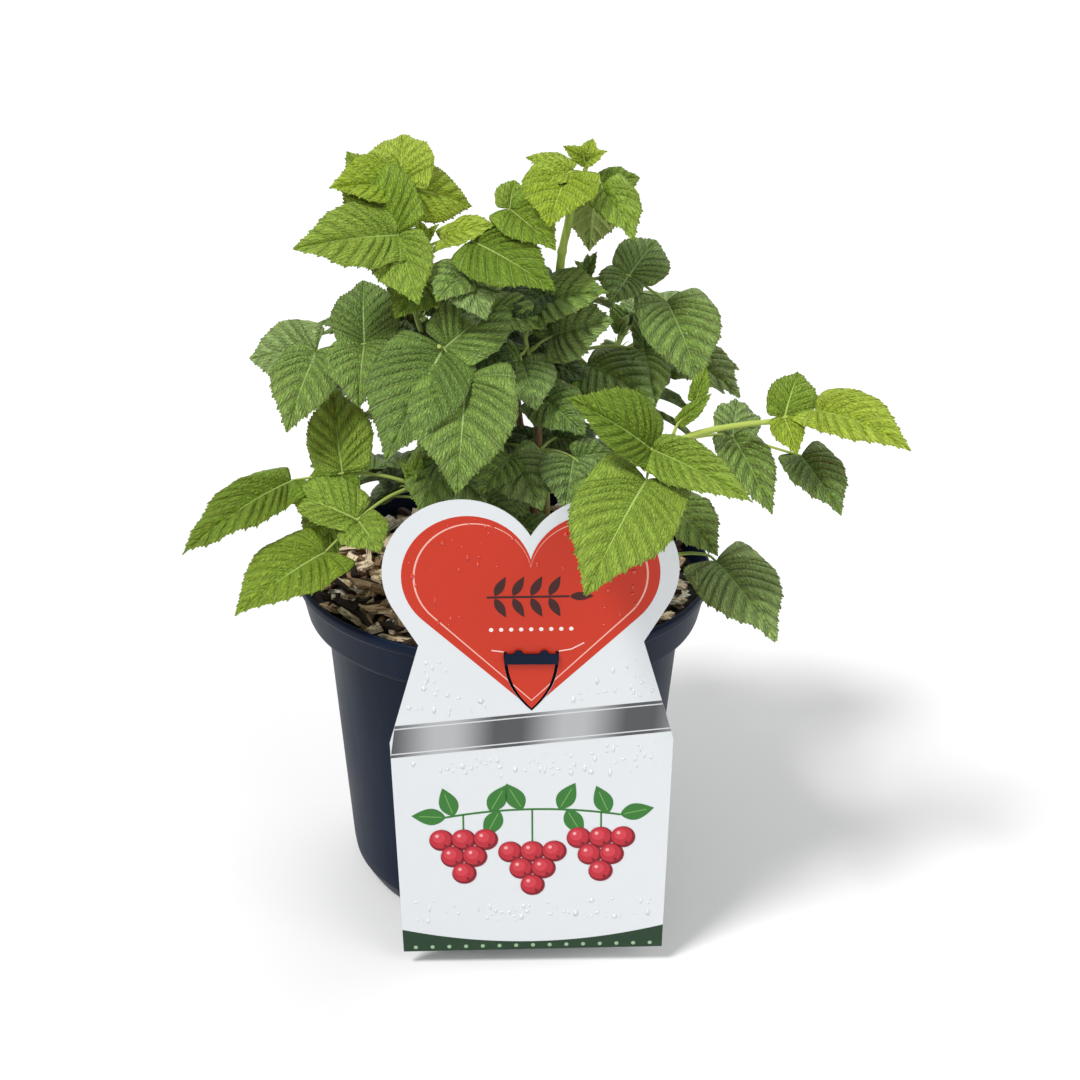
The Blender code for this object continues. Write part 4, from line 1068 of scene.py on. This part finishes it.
# The masses at the back are dealt out by rule, each in its own wedge of space: the way it
# looks, its half angle, its lowest and highest point, and its count of leaves.
Space = namedtuple("Space", "look half low high count")
SPACES = {
    "foliage_back": Space(95, 27, 232, 344, 8),
    "foliage_back_left": Space(150, 27, 232, 332, 8),
    "foliage_back_right": Space(40, 27, 232, 338, 8),
    "foliage_low_back": Space(60, 34, 190, 232, 4),
    "foliage_low_back_left": Space(140, 42, 190, 232, 4),
}
SPACE_CENTRE = (10, 12)          # the middle of the plant, seen from above
TURN_SHARE = 0.4                 # of a turn, from one leaf to the next
FAN = 0.8                        # the share of its wedge that a mass's stalks spread over
LOW_STALK, HIGH_STALK = 38, 14
LOW_BLADE, HIGH_BLADE = 56, 40
LOW_RISE, HIGH_RISE = -8, 34
BARE_STRETCH = 12                # from the side leaflets to the end one
SIDE_SHARE = 0.76                # a side leaflet by the end one, and a leaflet's width by its length
SIDE_TURN = 72
END_DROOP, SIDE_DROOP = 32, 16
SEED = 7
WIDEST_SHARE = 0.42              # where along its length a leaflet is widest
LAST_NODE = 0.94                 # the share of a stem that its highest leaf grows at


def heading_vector(heading, rise):
    """Unit vector for a heading and a rise above the level, both in degrees."""
    turn, lift = math.radians(heading), math.radians(rise)
    return Vector((math.cos(turn) * math.cos(lift), math.sin(turn) * math.cos(lift), math.sin(lift)))


def mass_path(name, steps=3):
    """Where a mass's stem leaves its cane, and the stem's middle line from there."""
    mass = MASSES[name]
    cane = CANES[mass.cane]
    line = cane_path(mass.cane)
    root = point_along(line, mass.along)
    way = line[-1] - line[-2]
    gap = CLEAR
    if mass.along < 1:
        grain = (point_along(line, mass.along + 0.02) - root).normalized()
        way = Vector(mass.points[0]) - root
        way -= grain * way.dot(grain)
        gap += cane.foot + (cane.tip - cane.foot) * mass.along
    way.normalize()
    start = root + way * gap
    return root, [start] + smooth_path([start + way * 3, *mass.points], steps)


def blade_frame(blade, leaf):
    """A leaflet's way out, its upper side and the way across it at its root, and its bend."""
    chord = heading_vector(blade[0], blade[1])
    above = heading_vector(*leaf.face)
    above = (above - chord * above.dot(chord)).normalized()
    turn = math.radians(leaf.bend)
    start = chord * math.cos(turn / 2) + above * math.sin(turn / 2)
    lift = above * math.cos(turn / 2) - chord * math.sin(turn / 2)
    return start, lift, chord.cross(above), turn, blade[2] / (2 * math.sin(turn / 2))


def half_width(share):
    """Half width of a leaflet by its length share, before its width is applied."""
    return np.sin(np.pi * np.asarray(share, float) ** 0.68) ** 0.72 * (1 - 0.30 * np.asarray(share) ** 3)


def keeps_to(space, root, blade, leaf):
    """Whether a leaflet stays inside its mass's own space."""
    start, lift, across, turn, radius = blade_frame(blade, leaf)

    def middle(share):
        angle = turn * share
        return root + start * radius * math.sin(angle) - lift * radius * (1 - math.cos(angle))

    half = float(half_width(WIDEST_SHARE)) * blade[3] / 2
    widest = middle(WIDEST_SHARE)
    for corner in (middle(1), widest + across * half, widest - across * half):
        heading = math.degrees(math.atan2(corner.y - SPACE_CENTRE[1], corner.x - SPACE_CENTRE[0]))
        if abs(heading - space.look) > space.half or not space.low < corner.z < space.high:
            return False
    return True


def leaf_places(leaf, stem):
    """Where a leaf starts on its stem, where its side leaflets sit, and its end leaflet."""
    start = point_along(stem, min(leaf.at, LAST_NODE))
    joint = start + Vector(leaf.stalk)
    return start, joint, joint + Vector(leaf.reach)


def rear_leaves(name):
    """The leaves of a mass at the back, two fifths of a turn apart along its stem."""
    space = SPACES[name]
    stem = mass_path(name)[1]
    chance = random.Random(f"{SEED} {name}")
    leaves = []
    for number in range(space.count):
        share = (number + 0.6) / space.count
        place = (0.5 + number * TURN_SHARE) % 1.0 * 2 - 1
        heading = space.look + place * space.half * FAN
        rise = LOW_RISE + (HIGH_RISE - LOW_RISE) * share + chance.uniform(-5, 5)
        stalk = heading_vector(heading, rise) * (LOW_STALK + (HIGH_STALK - LOW_STALK) * share)
        reach = heading_vector(heading, rise - SIDE_DROOP) * BARE_STRETCH
        length = (LOW_BLADE + (HIGH_BLADE - LOW_BLADE) * share) * chance.uniform(0.92, 1.08)
        side = length * SIDE_SHARE
        leaf = Leaf(f"{name}_{number}", name, share, tuple(stalk), tuple(reach), (heading, 60), 35,
                    ((heading, rise - END_DROOP, length, length * SIDE_SHARE),),
                    tuple((heading + turn + chance.uniform(-7, 7), rise - SIDE_DROOP + chance.uniform(-4, 4),
                           side, side * SIDE_SHARE) for turn in (-SIDE_TURN, SIDE_TURN)))
        joint, end = leaf_places(leaf, stem)[1:]
        ends = tuple(blade for blade in leaf.ends if keeps_to(space, end, blade, leaf))
        sides = tuple(blade for blade in leaf.sides if keeps_to(space, joint, blade, leaf))
        if ends or sides:
            leaves.append(leaf._replace(ends=ends, sides=sides))
    return leaves


# Leaflets
# A raspberry leaflet is a thin pleated blade: sunk veins run from the midrib to the
# larger teeth of a doubly toothed edge, and the tissue between them bulges.
BLADE_THICK = 0.32
VEIN_HALF = 0.14                 # half the width of a side vein's strip
RIB_HALF = 0.42                  # and of the midrib's
FIRST_ROW, LAST_ROW = 0.012, 0.992   # shares of the length that its rows of points keep within
TOOTH = 0.25                     # a tooth's size by the distance between two veins
PLEAT = 0.50                     # a pleat's height by the distance between two veins
VEIN_SLANT = 0.29
RIPPLE, PUCKER = 0.016, 0.0035   # waves of the edge and between the veins, by the length
EDGE_DROOP, MOST_TWIST = (0.10, 0.24), 0.30
COARSE_BELOW = 33.0              # leaflets shorter than this have the coarse grid
FOLDED_BELOW = 20.0              # and these are young and still folded

# How a leaflet is divided: its rows between one vein and the next, the size of the tooth at
# each row and the zone after it, both from the vein on, and its columns out from the midrib.
Grid = namedtuple("Grid", "rows teeth zones across")
FINE = Grid((0.15, 0.29, 0.45, 0.60, 0.75, 0.88), (1.0, 1.0, 0.05, 0.62, 0.0, 0.55, 0.02, 0.66),
            (1, 2, 0, 6, 6, 0, 0, 2), (0.2, 0.38, 0.56, 0.73, 0.88, 1.0))
COARSE = Grid((0.2, 0.45, 0.58, 0.8), (1.0, 1.0, 0.02, 0.58, 0.0, 0.60),
              (1, 2, 6, 6, 0, 2), (0.3, 0.6, 0.84, 1.0))


def blade_rows(length, veins, grid, chance):
    """A leaflet's rows of points: their shares of its length, their teeth and their zones."""
    strip = VEIN_HALF / length
    shares, teeth, zones = [], [], []
    for vein in range(veins):
        at = vein / veins
        shares += [at - strip, at + strip] + [at + step / veins for step in grid.rows]
        size = chance.uniform(0.75, 1.2)
        teeth += [step * size * (0.4 if vein == 0 and index < 2 else 1)
                  for index, step in enumerate(grid.teeth)]
        zones += grid.zones
    return np.array(shares[1:] + [LAST_ROW]), np.array(teeth[1:] + [0.0]), zones[1:]


def blade_columns(share, width, grid):
    """The half width of each row, and where its points lie as shares of it, edge to edge."""
    rib = RIB_HALF * (1.15 - share)
    drawn = 1 - 0.52 * np.clip((share - 0.62) / 0.38, 0, 1) ** 1.1
    half = half_width(share) * drawn * width / 2 * 1.03
    inner = np.clip(rib / np.maximum(half, 0.05), 0.02, 0.19)
    columns = np.concatenate([np.zeros((len(share), 1)), inner[:, None],
                              np.repeat([grid.across], len(share), axis=0)], axis=1)
    return half[:, None], np.concatenate([-columns[:, :0:-1], columns], axis=1)


def blade_relief(side, shares, columns, veins, length, width, fold, chance):
    """How high a leaflet's points stand: its pleats, its fold, and the waves of its edge."""
    share = np.clip(shares, FIRST_ROW, LAST_ROW)[:, None]
    outward = np.abs(columns)
    sign = np.where(columns < 0, -1.0, 1.0)
    phase = shares * veins
    bulge = np.abs(np.sin(np.pi * phase)) ** 0.6
    strength = (0.3 + 0.7 * np.sin(np.pi * np.clip(outward, 0, 1) ** 0.85)) * np.clip(outward * 6, 0, 1)
    taper = np.sin(np.pi * np.clip(share, 0.02, 0.98)) ** 0.5
    height = PLEAT * length / veins * bulge[:, None] * strength * taper
    height += fold * np.abs(side) * (1 - 0.25 * outward)
    height -= 0.45 * np.exp(-(outward / 0.08) ** 2)
    waves = [(chance.uniform(2.0, 4.2), chance.uniform(0, 6.28), chance.uniform(-1, 1)) for _ in range(3)]
    ripple = sum(size * np.sin(2 * np.pi * pace * share + first + 1.3 * sign) for pace, first, size in waves)
    pucker = sum(size * np.sin(veins * pace * share * 2.4 + first + 9 * columns * pace)
                 for pace, first, size in waves)
    height += RIPPLE * length * ripple * outward ** 2 + PUCKER * length * pucker * np.sin(np.pi * outward)
    return height - chance.uniform(*EDGE_DROOP) * side ** 2 / max(width, 8) * 1.1


def blade_faces(rows, count, row_zones):
    """The faces of a leaflet's upper side, underside and rim, and the zone of each."""
    faces, zones = [], []
    below = rows * count
    centre = count // 2
    for row in range(rows - 1):
        for column in range(count - 1):
            a = row * count + column
            b, c, d = a + 1, a + count + 1, a + count
            zone = 5 if column in (centre - 1, centre) else row_zones[row]
            faces.append((a, b, c, d))
            faces.append((below + a, below + d, below + c, below + b))
            zones += [zone, 4 if zone in (1, 5) else 3]
    border = [row * count for row in range(rows)]
    border += [(rows - 1) * count + column for column in range(1, count)]
    border += [row * count + count - 1 for row in range(rows - 2, -1, -1)]
    border += list(range(count - 2, 0, -1))
    for first, after in zip(border, border[1:] + border[:1]):
        faces.append((first, after, below + after, below + first))
        zones.append(0)
    return faces, zones


def leaflet(root, blade, leaf, chance, lobe, fold, lopsided):
    """Points, faces, zones and flat places of one leaflet.

    Zones: 0 upper side, 1 its side veins, 2 the creases beside them, painted darker as
    shade, 3 underside, 4 its veins, 5 the midrib, 6 the crests of its pleats, painted
    lighter as a highlight. A flat place is how far a point lies out from the midrib and
    along it.
    """
    length, width = blade[2:]
    start, lift, across, turn, radius = (np.array(part) for part in blade_frame(blade, leaf))
    grid = FINE if length > COARSE_BELOW else COARSE
    veins = round(4.6 + length / 10.5)
    shares, teeth, row_zones = blade_rows(length, veins, grid, chance)
    share = np.clip(shares, FIRST_ROW, LAST_ROW)[:, None]
    half, columns = blade_columns(share[:, 0], width, grid)
    outward = np.abs(columns)
    sign = np.where(columns < 0, -1.0, 1.0)
    middle = share - VEIN_SLANT * np.sin(np.pi * share)
    edge = share - lobe * np.sin(np.pi * np.clip(share / 0.24, 0, 1))
    along = middle + (edge - middle) * outward ** 1.1
    bite = teeth[:, None] * np.clip((outward - 0.78) / 0.22, 0, 1) ** 1.4 * TOOTH * length / veins
    bite *= np.clip(np.sin(np.pi * share) * 3, 0.25, 1)
    side = columns * half * (1 + lopsided * sign) + sign * bite * 0.62
    along = along + bite * 0.85 / length
    height = blade_relief(side, shares, columns, veins, length, width, fold, chance)

    # The flat blade is twisted about its midrib, then laid along its bend.
    lean = chance.uniform(-MOST_TWIST, MOST_TWIST) * (along - 0.3)
    side, height = side * np.cos(lean) - height * np.sin(lean), side * np.sin(lean) + height * np.cos(lean)
    angle = turn * along
    upper = lift * np.cos(angle)[..., None] + start * np.sin(angle)[..., None]
    place = (np.array(root) + start * (radius * np.sin(angle))[..., None]
             - lift * (radius * (1 - np.cos(angle)))[..., None]
             + across * side[..., None] + upper * height[..., None])
    vein_rows = np.array([zone == 1 for zone in row_zones] + [False])
    ribs = (vein_rows[:, None] | np.roll(vein_rows, 1)[:, None]) * (1 - 0.6 * outward)
    ribs = np.maximum(ribs * 0.28, 0.75 * (1.1 - share) * np.exp(-(outward / 0.12) ** 2))
    thick = BLADE_THICK * (1 - 0.6 * outward ** 3)
    under = place - upper * (thick + ribs)[..., None]
    points = np.concatenate([place.reshape(-1, 3), under.reshape(-1, 3)])
    faces, zones = blade_faces(*side.shape, row_zones)
    flat = np.stack([columns * half, np.broadcast_to(shares[:, None] * length, side.shape),
                     np.full(side.shape, chance.uniform(0, 200))], axis=-1).reshape(-1, 3)
    return points, faces, zones, np.concatenate([flat, flat])


# The greens of each age of leaf: three blade greens, dealt out leaflet by leaflet, then its
# veins, midrib and underside, how it shines and how rough its skin is, the share of its
# green in a crease, as painted shade, and on a crest, as a painted highlight, and the tone
# of the small inner leaves on its stem.
Tone = namedtuple("Tone", "greens vein rib under shine skin crease ridge inner")
# Each age's inner tone is a darker one, painted shade for the small inner leaves inside the crown. The deep
# tone is made only for that.
TONES = {
    "young": Tone(((0.284, 0.404, 0.028), (0.180, 0.290, 0.024), (0.350, 0.474, 0.046)), (0.37, 0.49, 0.07),
                  (0.44, 0.55, 0.12), (0.38, 0.50, 0.15), 0.22, 0.48, 0.76, 1.12, "grown"),
    "fresh": Tone(((0.206, 0.322, 0.026), (0.160, 0.262, 0.021), (0.250, 0.374, 0.044)), (0.26, 0.38, 0.06),
                  (0.38, 0.50, 0.13), (0.31, 0.42, 0.16), 0.24, 0.46, 0.78, 1.12, "dark"),
    # The third green of the grown and dark tones carries more blue. This is partly their own tone and partly
    # a painted sheen of the sky on the leaves.
    "grown": Tone(((0.190, 0.300, 0.052), (0.142, 0.238, 0.038), (0.228, 0.338, 0.094)), (0.21, 0.31, 0.07),
                  (0.34, 0.46, 0.15), (0.26, 0.36, 0.17), 0.44, 0.42, 0.66, 1.18, "deep"),
    "dark": Tone(((0.172, 0.280, 0.042), (0.126, 0.216, 0.032), (0.200, 0.310, 0.072)), (0.18, 0.28, 0.06),
                 (0.28, 0.39, 0.12), (0.22, 0.31, 0.16), 0.56, 0.38, 0.62, 1.24, "deep"),
    "deep": Tone(((0.070, 0.124, 0.024), (0.054, 0.102, 0.019), (0.080, 0.136, 0.038)), (0.10, 0.17, 0.04),
                 (0.14, 0.22, 0.06), (0.17, 0.25, 0.12), 0.4, 0.42, 0.62, 1.24, "deep"),
}
STALK_GREEN = (0.36, 0.43, 0.06)


def leaf_finish(name, colour, roughness, relief, shine):
    """Living leaf: one plain green, a waxy skin, and small veins that pucker it."""
    material = finish_named(name, colour, roughness, shine, subsurface_weight=0.06, subsurface_scale=0.002)
    tree = material.node_tree
    flat = add_node(tree, "ShaderNodeAttribute", attribute_name="flat").outputs["Vector"]
    drawn = add_node(tree, "ShaderNodeMapping", {"Vector": flat, "Scale": (1.0, 0.72, 1.0)}).outputs[0]
    bent = vectors(tree, noise_of(tree, drawn, 0.5, 1.0)["Color"], 1.4, "SCALE")
    moved = vectors(tree, drawn, bent)
    net = add_node(tree, "ShaderNodeTexVoronoi", {"Vector": moved, "Scale": 0.68},
                   feature="DISTANCE_TO_EDGE")
    pillow = maths(tree, net.outputs["Distance"], 0.5, "POWER")
    fine = noise_of(tree, drawn, 1.6, 3.0)["Fac"]
    add_bump(material, pillow, 0.0014 * relief, 1.0)
    add_bump(material, fine, 0.0007 * relief, 0.7)
    return material


leaf_materials = {}
for name, tone in TONES.items():
    for number, green in enumerate(tone.greens):
        # Each blade green is also made darker as painted shade for the creases, and lighter as a painted
        # highlight for the crests of the pleats.
        for part, share, roughness, relief in (("leaf", 1, tone.skin, 1.0), ("crease", tone.crease, 0.5, 0.8),
                                               ("ridge", tone.ridge, tone.skin, 1.0)):
            leaf_materials[name, number, part] = leaf_finish(f"{part}_{name}_{number}", shaded(green, share),
                                                             roughness, relief, tone.shine)
    for part, colour, roughness, relief, shine in (
            ("vein", tone.vein, 0.5, 0.4, tone.shine), ("rib", tone.rib, 0.5, 0.2, tone.shine),
            ("under", tone.under, 0.62, 0.8, 0.2), ("under_vein", shaded(tone.under, 1.2), 0.6, 0.3, 0.2)):
        leaf_materials[name, part] = leaf_finish(f"{part}_{name}", colour, roughness, relief, shine)
    stalk_colour = tuple(a * 0.55 + b * 0.45 for a, b in zip(tone.rib, STALK_GREEN))
    stalk = finish_named(f"stalk_{name}", stalk_colour, 0.5, 0.3)
    add_bump(stalk, grain_of(stalk.node_tree, 900, (1, 1, 0.3)), 0.0003, 0.7)
    leaf_materials[name, "stalk"] = stalk


def stalk_limb(start, joint, end):
    """A leaf stalk as a smooth line, swollen at its foot."""
    knots = [start, (start + joint) / 2 + Vector((0, 0, 0.06 * (joint - start).length)), joint]
    if (end - joint).length > 1:
        knots.append(end)
    path = smooth_path(knots, 8)
    last = len(path) - 1
    return path, [1.0 - 0.38 * index / last + 0.5 * math.exp(-index * 0.9) for index in range(last + 1)]


INNER_SHARES = (0.12, 0.36, 0.6)  # where along its stem a mass has its small inner leaves
INNER_STALK, INNER_BLADE, INNER_WIDTH = 17.0, 30.0, 0.78
INNER_TURN = 47.0
OPEN_MASSES = ("foliage_low_right", "foliage_right_tip")


def inner_leaves(name):
    """Small leaves that turn to the middle of the plant and close the crown behind."""
    if name in OPEN_MASSES or name in SPACES:
        return []
    stem = mass_path(name)[1]
    chance = random.Random(f"{SEED} {name} inner")
    leaves = []
    for number, share in enumerate(INNER_SHARES):
        start = point_along(stem, share)
        heading = math.degrees(math.atan2(SPACE_CENTRE[1] - start.y, SPACE_CENTRE[0] - start.x))
        heading += INNER_TURN * (number - 1) + chance.uniform(-12, 12)
        rise = chance.uniform(-12, 14)
        length = INNER_BLADE * chance.uniform(0.85, 1.1)
        side = length * SIDE_SHARE
        leaves.append(Leaf(f"{name}_inner_{number}", name, share,
                           tuple(heading_vector(heading, rise) * INNER_STALK),
                           tuple(heading_vector(heading, rise - 8) * 8), (262, 55), 35,
                           ((heading, rise - 24, length, length * INNER_WIDTH),),
                           tuple((heading + turn, rise - 14, side, side * SIDE_SHARE) for turn in (-74, 70))))
    return leaves


BUD_MASSES = ("foliage_left_tip", "foliage_right_upper", "foliage_low_left", *SPACES)


def tip_bud(name):
    """The youngest leaf at a stem's tip, still folded along its midribs."""
    heading = 230 + 23 * list(MASSES).index(name)
    return Leaf(name + "_bud", name, LAST_NODE, (0, -1, 4), (0, 0, 0), (262, 40), 25,
                ((heading, 66, 15, 7),), ((heading + 125, 52, 12, 5), (heading + 235, 48, 11, 5)))


def stipules(start, joint):
    """The two thin green threads where a leaf's stalk leaves its stem."""
    way = (joint - start).normalized()
    side = way.cross(Vector((0.3, 0.2, 1))).normalized()
    made = []
    for sign in (-1, 1):
        path = [start + way * 1.0, start + way * 3.0 + side * sign * 2.0,
                start + way * 5.0 + side * sign * 3.6 + Vector((0, 0, 1.0)),
                start + way * 6.4 + side * sign * 4.6 + Vector((0, 0, 0.6))]
        made.append((smooth_path(path, 3), [0.42 - 0.034 * step for step in range(10)]))
    return made


def build_mass(name, leaves):
    """One mass: its stem and stalks as one piece, and its leaflets as another."""
    mass = MASSES[name]
    root, stem = mass_path(name)
    line = [root] + mass_path(name, 12)[1]
    limbs = [(line, tapering(line, mass.base, mass.tip, 0.12))]
    points, faces, slots, flats = [], [], [], []
    used = []
    for leaf in leaves:
        chance = random.Random(f"{SEED} {leaf.name}")
        # Small inner leaves take their mass's inner tone, a darker green that is painted as the shade inside
        # the crown.
        tone = OTHER_TONES.get(leaf.name, TONES[mass.tone].inner if "inner" in leaf.name else mass.tone)
        start, joint, end = leaf_places(leaf, stem)
        limbs.append(stalk_limb(start, joint, end))
        limbs += stipules(start, joint)
        for place, blades, is_end in ((end, leaf.ends, True), (joint, leaf.sides, False)):
            for blade in blades:
                young = blade[2] < FOLDED_BELOW
                corners, sides, zones, flat = leaflet(
                    place, blade, leaf, chance, lobe=0.12 if young or not is_end else 0.2,
                    fold=0.55 if young else chance.uniform(0.12, 0.42), lopsided=0.0 if is_end else 0.1)
                shade = chance.randrange(3)
                # Zones 2 and 6 take the painted crease shade and the painted crest highlight.
                zone_keys = [(tone, shade, "leaf"), (tone, "vein"), (tone, shade, "crease"), (tone, "under"),
                             (tone, "under_vein"), (tone, "rib"), (tone, shade, "ridge")]
                for key in zone_keys:
                    if key not in used:
                        used.append(key)
                lookup = [used.index(key) for key in zone_keys]
                first = sum(len(block) for block in points)
                points.append(corners)
                flats.append(flat)
                faces += [tuple(first + corner for corner in side) for side in sides]
                slots += [lookup[zone] for zone in zones]
    blades = piece_from(name + "_leaves", np.concatenate(points), faces,
                        [leaf_materials[key] for key in used], slots)
    spread = blades.data.attributes.new("flat", "FLOAT_VECTOR", "POINT")
    spread.data.foreach_set("vector", np.concatenate(flats).ravel())
    stalks = grown(name + "_stalks", limb_lines(name + "_lines", limbs), limbs_grown, sides=10,
                   relief=0.0002, relief_scale=700.0, prickles=9000.0, prickle_length=0.0007, seed=3,
                   bark=leaf_materials[mass.tone, "stalk"], prickle=leaf_materials[mass.tone, "vein"])
    for piece in (blades, stalks):
        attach(piece, "root")
        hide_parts(name)


for name in MASSES:
    shown = [leaf for leaf in LEAVES if leaf.mass == name] or rear_leaves(name)
    build_mass(name, shown + inner_leaves(name) + [tip_bud(name)] * (name in BUD_MASSES))

# Studio
# A plain pale floor, a soft key light from the upper left with weaker ones from the right
# and from behind, and the camera at the photograph's height and distance.
CAMERA_PLACE = Vector((-0.0088, -1.0, 0.6517))
CAMERA_DOWN, CAMERA_RIGHT, CAMERA_ROLL = math.radians(24.33), math.radians(1.641), math.radians(0.792)
CAMERA_LENS = 66.17
SKY_COLOUR, SKY_STRENGTH = (0.97, 0.985, 1.0), 0.43
LIGHT_AIM = (0, 0, 0.25)
FLOOR_HALF = 6.0

floor_mesh = bpy.data.meshes.new("floor")
corners = [(x * FLOOR_HALF, y * FLOOR_HALF, 0) for x, y in ((-1, -1), (1, -1), (1, 1), (-1, 1))]
floor_mesh.from_pydata(corners, [], [(0, 1, 2, 3)])
floor_mesh.materials.append(finish_named("floor_pale", (0.86, 0.86, 0.85), 0.7))
floor = linked("floor", floor_mesh)

studio = bpy.data.worlds.new("studio")
studio.use_nodes = True
sky = studio.node_tree.nodes["Background"].inputs
sky["Color"].default_value = (*SKY_COLOUR, 1)
sky["Strength"].default_value = SKY_STRENGTH
bpy.context.scene.world = studio


def soft_sun(name, place, softness, strength):
    """A soft light that falls evenly over the whole floor, from the way of a point."""
    lamp = bpy.data.lights.new(name, "SUN")
    lamp.angle = math.radians(softness)
    lamp.energy = strength
    light = linked(name, lamp)
    light.rotation_euler = (Vector(LIGHT_AIM) - Vector(place)).to_track_quat("-Z", "Y").to_euler()


soft_sun("key_light", (-0.7, -0.6, 1.6), 16, 2.45)
soft_sun("fill_light", (0.9, -0.9, 1.2), 40, 0.75)
soft_sun("back_light", (0.6, 1.2, 1.6), 50, 0.7)

view_camera = bpy.data.cameras.new("camera")
view_camera.lens = CAMERA_LENS
view_camera.sensor_width = 36
camera = linked("camera", view_camera)
reach = math.cos(CAMERA_DOWN)
forward = Vector((math.sin(CAMERA_RIGHT) * reach, math.cos(CAMERA_RIGHT) * reach, -math.sin(CAMERA_DOWN)))
level = forward.cross(Vector((0, 0, 1))).normalized()
upright = level.cross(forward)
right = level * math.cos(CAMERA_ROLL) + upright * math.sin(CAMERA_ROLL)
top = upright * math.cos(CAMERA_ROLL) - level * math.sin(CAMERA_ROLL)
camera.matrix_world = Matrix.Translation(CAMERA_PLACE) @ Matrix((right, top, -forward)).transposed().to_4x4()
bpy.context.scene.camera = camera
bpy.context.scene.view_settings.view_transform = "Standard"
